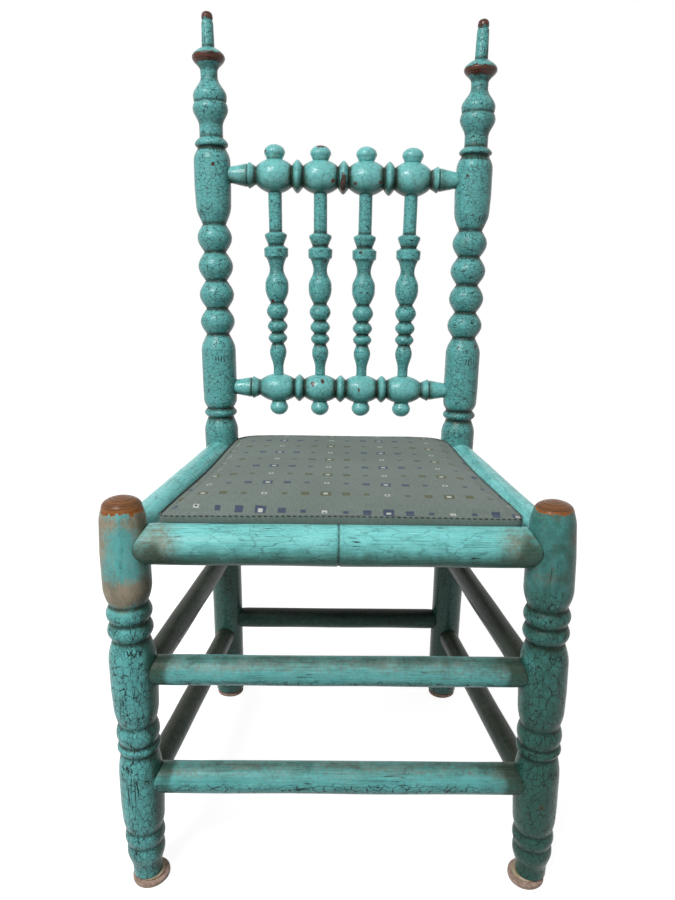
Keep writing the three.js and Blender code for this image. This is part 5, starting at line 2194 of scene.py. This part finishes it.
@dataclass
class Studio:
    """A pale floor, a plain light from the upper left in front, and the camera."""

    eye: tuple[float, float, float] = (-15.8, -899.5, 706.1)
    turn: tuple[float, float, float] = (-0.0112, -0.2492, -0.0139)  # yaw, pitch, roll
    focal: float = 699.7  # in pixels of the picture's long side
    long_side: float = 900.0
    sensor: float = 36.0
    key_azimuth: float = -33.0
    key_elevation: float = 44.0
    key_distance: float = 2.6
    key_size: float = 1.1
    key_power: float = 56.0
    key_aim: tuple[float, float, float] = (0.0, 0.0, 0.5)
    sky: float = 0.46
    horizon: float = 0.29
    floor_tone: float = 0.3  # as a bounce
    floor_white: float = 0.9
    floor_glow: float = 1.45
    glow_share: float = 0.6
    floor_half: float = 6.0
    floor_drop: float = 0.0002  # below the feet

    def build(self) -> None:
        """Makes the floor, the world, the lamp and the camera."""
        self.build_floor()
        self.build_world()
        self.build_lamp()
        self.build_camera()
        bpy.context.scene.view_settings.view_transform = "Standard"

    def shown(self, g: Graph) -> Source:
        """One for rays whose background shows: from the camera, by gloss or through glass."""
        return g.most(*(g.take("ShaderNodeLightPath", {}, f"Is {kind} Ray")
                        for kind in ("Camera", "Glossy", "Transmission")))

    def build_floor(self) -> None:
        """Makes the floor: white where it shows, with the chair's shadow, and darker as a bounce."""
        corners = np.array([[-1, -1, 0], [1, -1, 0], [1, 1, 0], [-1, 1, 0]]) * self.floor_half
        mesh = mesh_of("floor", corners - (0, 0, self.floor_drop), [np.array([[0, 1, 2, 3]])])
        floor = link("floor", mesh)
        material = bpy.data.materials.new("floor")
        g = empty_graph(material)
        bounce = g.take("ShaderNodeBsdfDiffuse", {"Color": grey(self.floor_tone)})
        white = g.take("ShaderNodeBsdfDiffuse", {"Color": grey(self.floor_white)})
        glow = g.take("ShaderNodeEmission", {"Color": grey(1.0), "Strength": self.floor_glow})
        pale = g.take("ShaderNodeMixShader", {0: self.glow_share, 1: white, 2: glow})
        mixed = g.take("ShaderNodeMixShader", {0: self.shown(g), 1: bounce, 2: pale})
        g.node("ShaderNodeOutputMaterial", {"Surface": mixed})
        floor.data.materials.append(material)
        floor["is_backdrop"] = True

    def build_world(self) -> None:
        """Makes the world: white where it shows, and a soft light that is stronger from above."""
        world = bpy.data.worlds.new("studio")
        bpy.context.scene.world = world
        g = empty_graph(world)
        height = g.parts(g.take("ShaderNodeTexCoord", {}, "Generated"))[2]
        light = g.ease(height, -0.1, 0.9, self.horizon, self.sky)
        strength = g.blend(self.shown(g), light, 1.0)
        sky = g.take("ShaderNodeBackground", {"Color": grey(1.0), "Strength": strength})
        g.node("ShaderNodeOutputWorld", {"Surface": sky})

    def build_lamp(self) -> None:
        """Makes the one soft lamp."""
        azimuth, elevation = math.radians(self.key_azimuth), math.radians(self.key_elevation)
        level = math.cos(elevation)
        away = np.array([math.sin(azimuth) * level, -math.cos(azimuth) * level, math.sin(elevation)])
        data = bpy.data.lights.new("key", "AREA")
        data.shape = "SQUARE"
        data.size = self.key_size
        data.energy = self.key_power
        lamp = bpy.data.objects.new("key", data)
        bpy.context.scene.collection.objects.link(lamp)
        lamp.matrix_world = facing_matrix(self.key_aim + away * self.key_distance, -away)

    def build_camera(self) -> None:
        """Makes the camera at the picture's viewpoint."""
        yaw, pitch, roll = self.turn
        right, ahead, up = (turn_about(2, yaw) @ turn_about(0, pitch) @ turn_about(1, roll)).T
        data = bpy.data.cameras.new("camera")
        data.sensor_fit = "AUTO"
        data.sensor_width = self.sensor
        data.lens = self.focal * self.sensor / self.long_side
        data.clip_end = 50.0
        camera = bpy.data.objects.new("camera", data)
        bpy.context.scene.collection.objects.link(camera)
        camera.matrix_world = world_matrix(np.array(self.eye) * MM, right, up, -ahead)
        bpy.context.scene.camera = camera


def grey(tone: float) -> Colour:
    """A grey, from 0 for black to 1 for white."""
    return (tone, tone, tone, 1.0)


def turn_about(axis: int, angle: float) -> Array:
    """The matrix of a turn.

    Args:
        axis: 0, 1 or 2, for X, Y or Z.
        angle: in radians.

    Returns:
        Three rows of three numbers.
    """
    one, two = (axis + 1) % 3, (axis + 2) % 3
    turn = np.eye(3)
    turn[one, one] = turn[two, two] = math.cos(angle)
    turn[two, one], turn[one, two] = math.sin(angle), -math.sin(angle)
    return turn


def world_matrix(place: Array, *axes: Array) -> Matrix:
    """A placing matrix.

    Args:
        place: where its origin lies.
        *axes: the directions of its X, Y and Z.

    Returns:
        The matrix.
    """
    rows = np.eye(4)
    rows[:3, :3] = np.array(axes).T
    rows[:3, 3] = place
    return Matrix(rows.tolist())


def facing_matrix(place: Array, way: Array) -> Matrix:
    """A placing matrix whose -Z runs along a direction."""
    back = -unit(way)
    right = unit(np.cross(UP, back))
    return world_matrix(place, right, np.cross(back, right), back)


# The whole chair

def write_sizes() -> None:
    """Works out the box of the CAD model and that of the dressed one."""
    boxes = {"cad": CAD_BOX, "visual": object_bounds()}


def main() -> None:
    """Builds the chair and its studio."""
    logging.basicConfig(level=logging.INFO, format="%(message)s")
    back_paint = BACK_PAINT.build()
    uprights = Uprights()
    uprights.build(LEG_PAINT.build(), back_paint)
    SeatFrame().build(uprights, SEAT_RAIL_PAINT.build())
    Stretchers().build(uprights, FRONT_BAR_PAINT.build(), SIDE_BAR_PAINT.build(),
                       REAR_BAR_PAINT.build())
    Back().build(uprights.posts, BACK_RAIL_PAINT.build(), back_paint)
    Glides().build(PlainWood("collar_wood", srgb(196, 182, 158), srgb(160, 142, 116)).build(),
                   Felt("felt").build())
    Seat().build(PlainWood("board_wood", srgb(186, 152, 110), srgb(150, 116, 78)).build(),
                 SquaresCloth("squares_cloth").build(), Thread("sewing_thread").build())
    Studio().build()
    write_sizes()


if __name__ == "__main__":
    main()
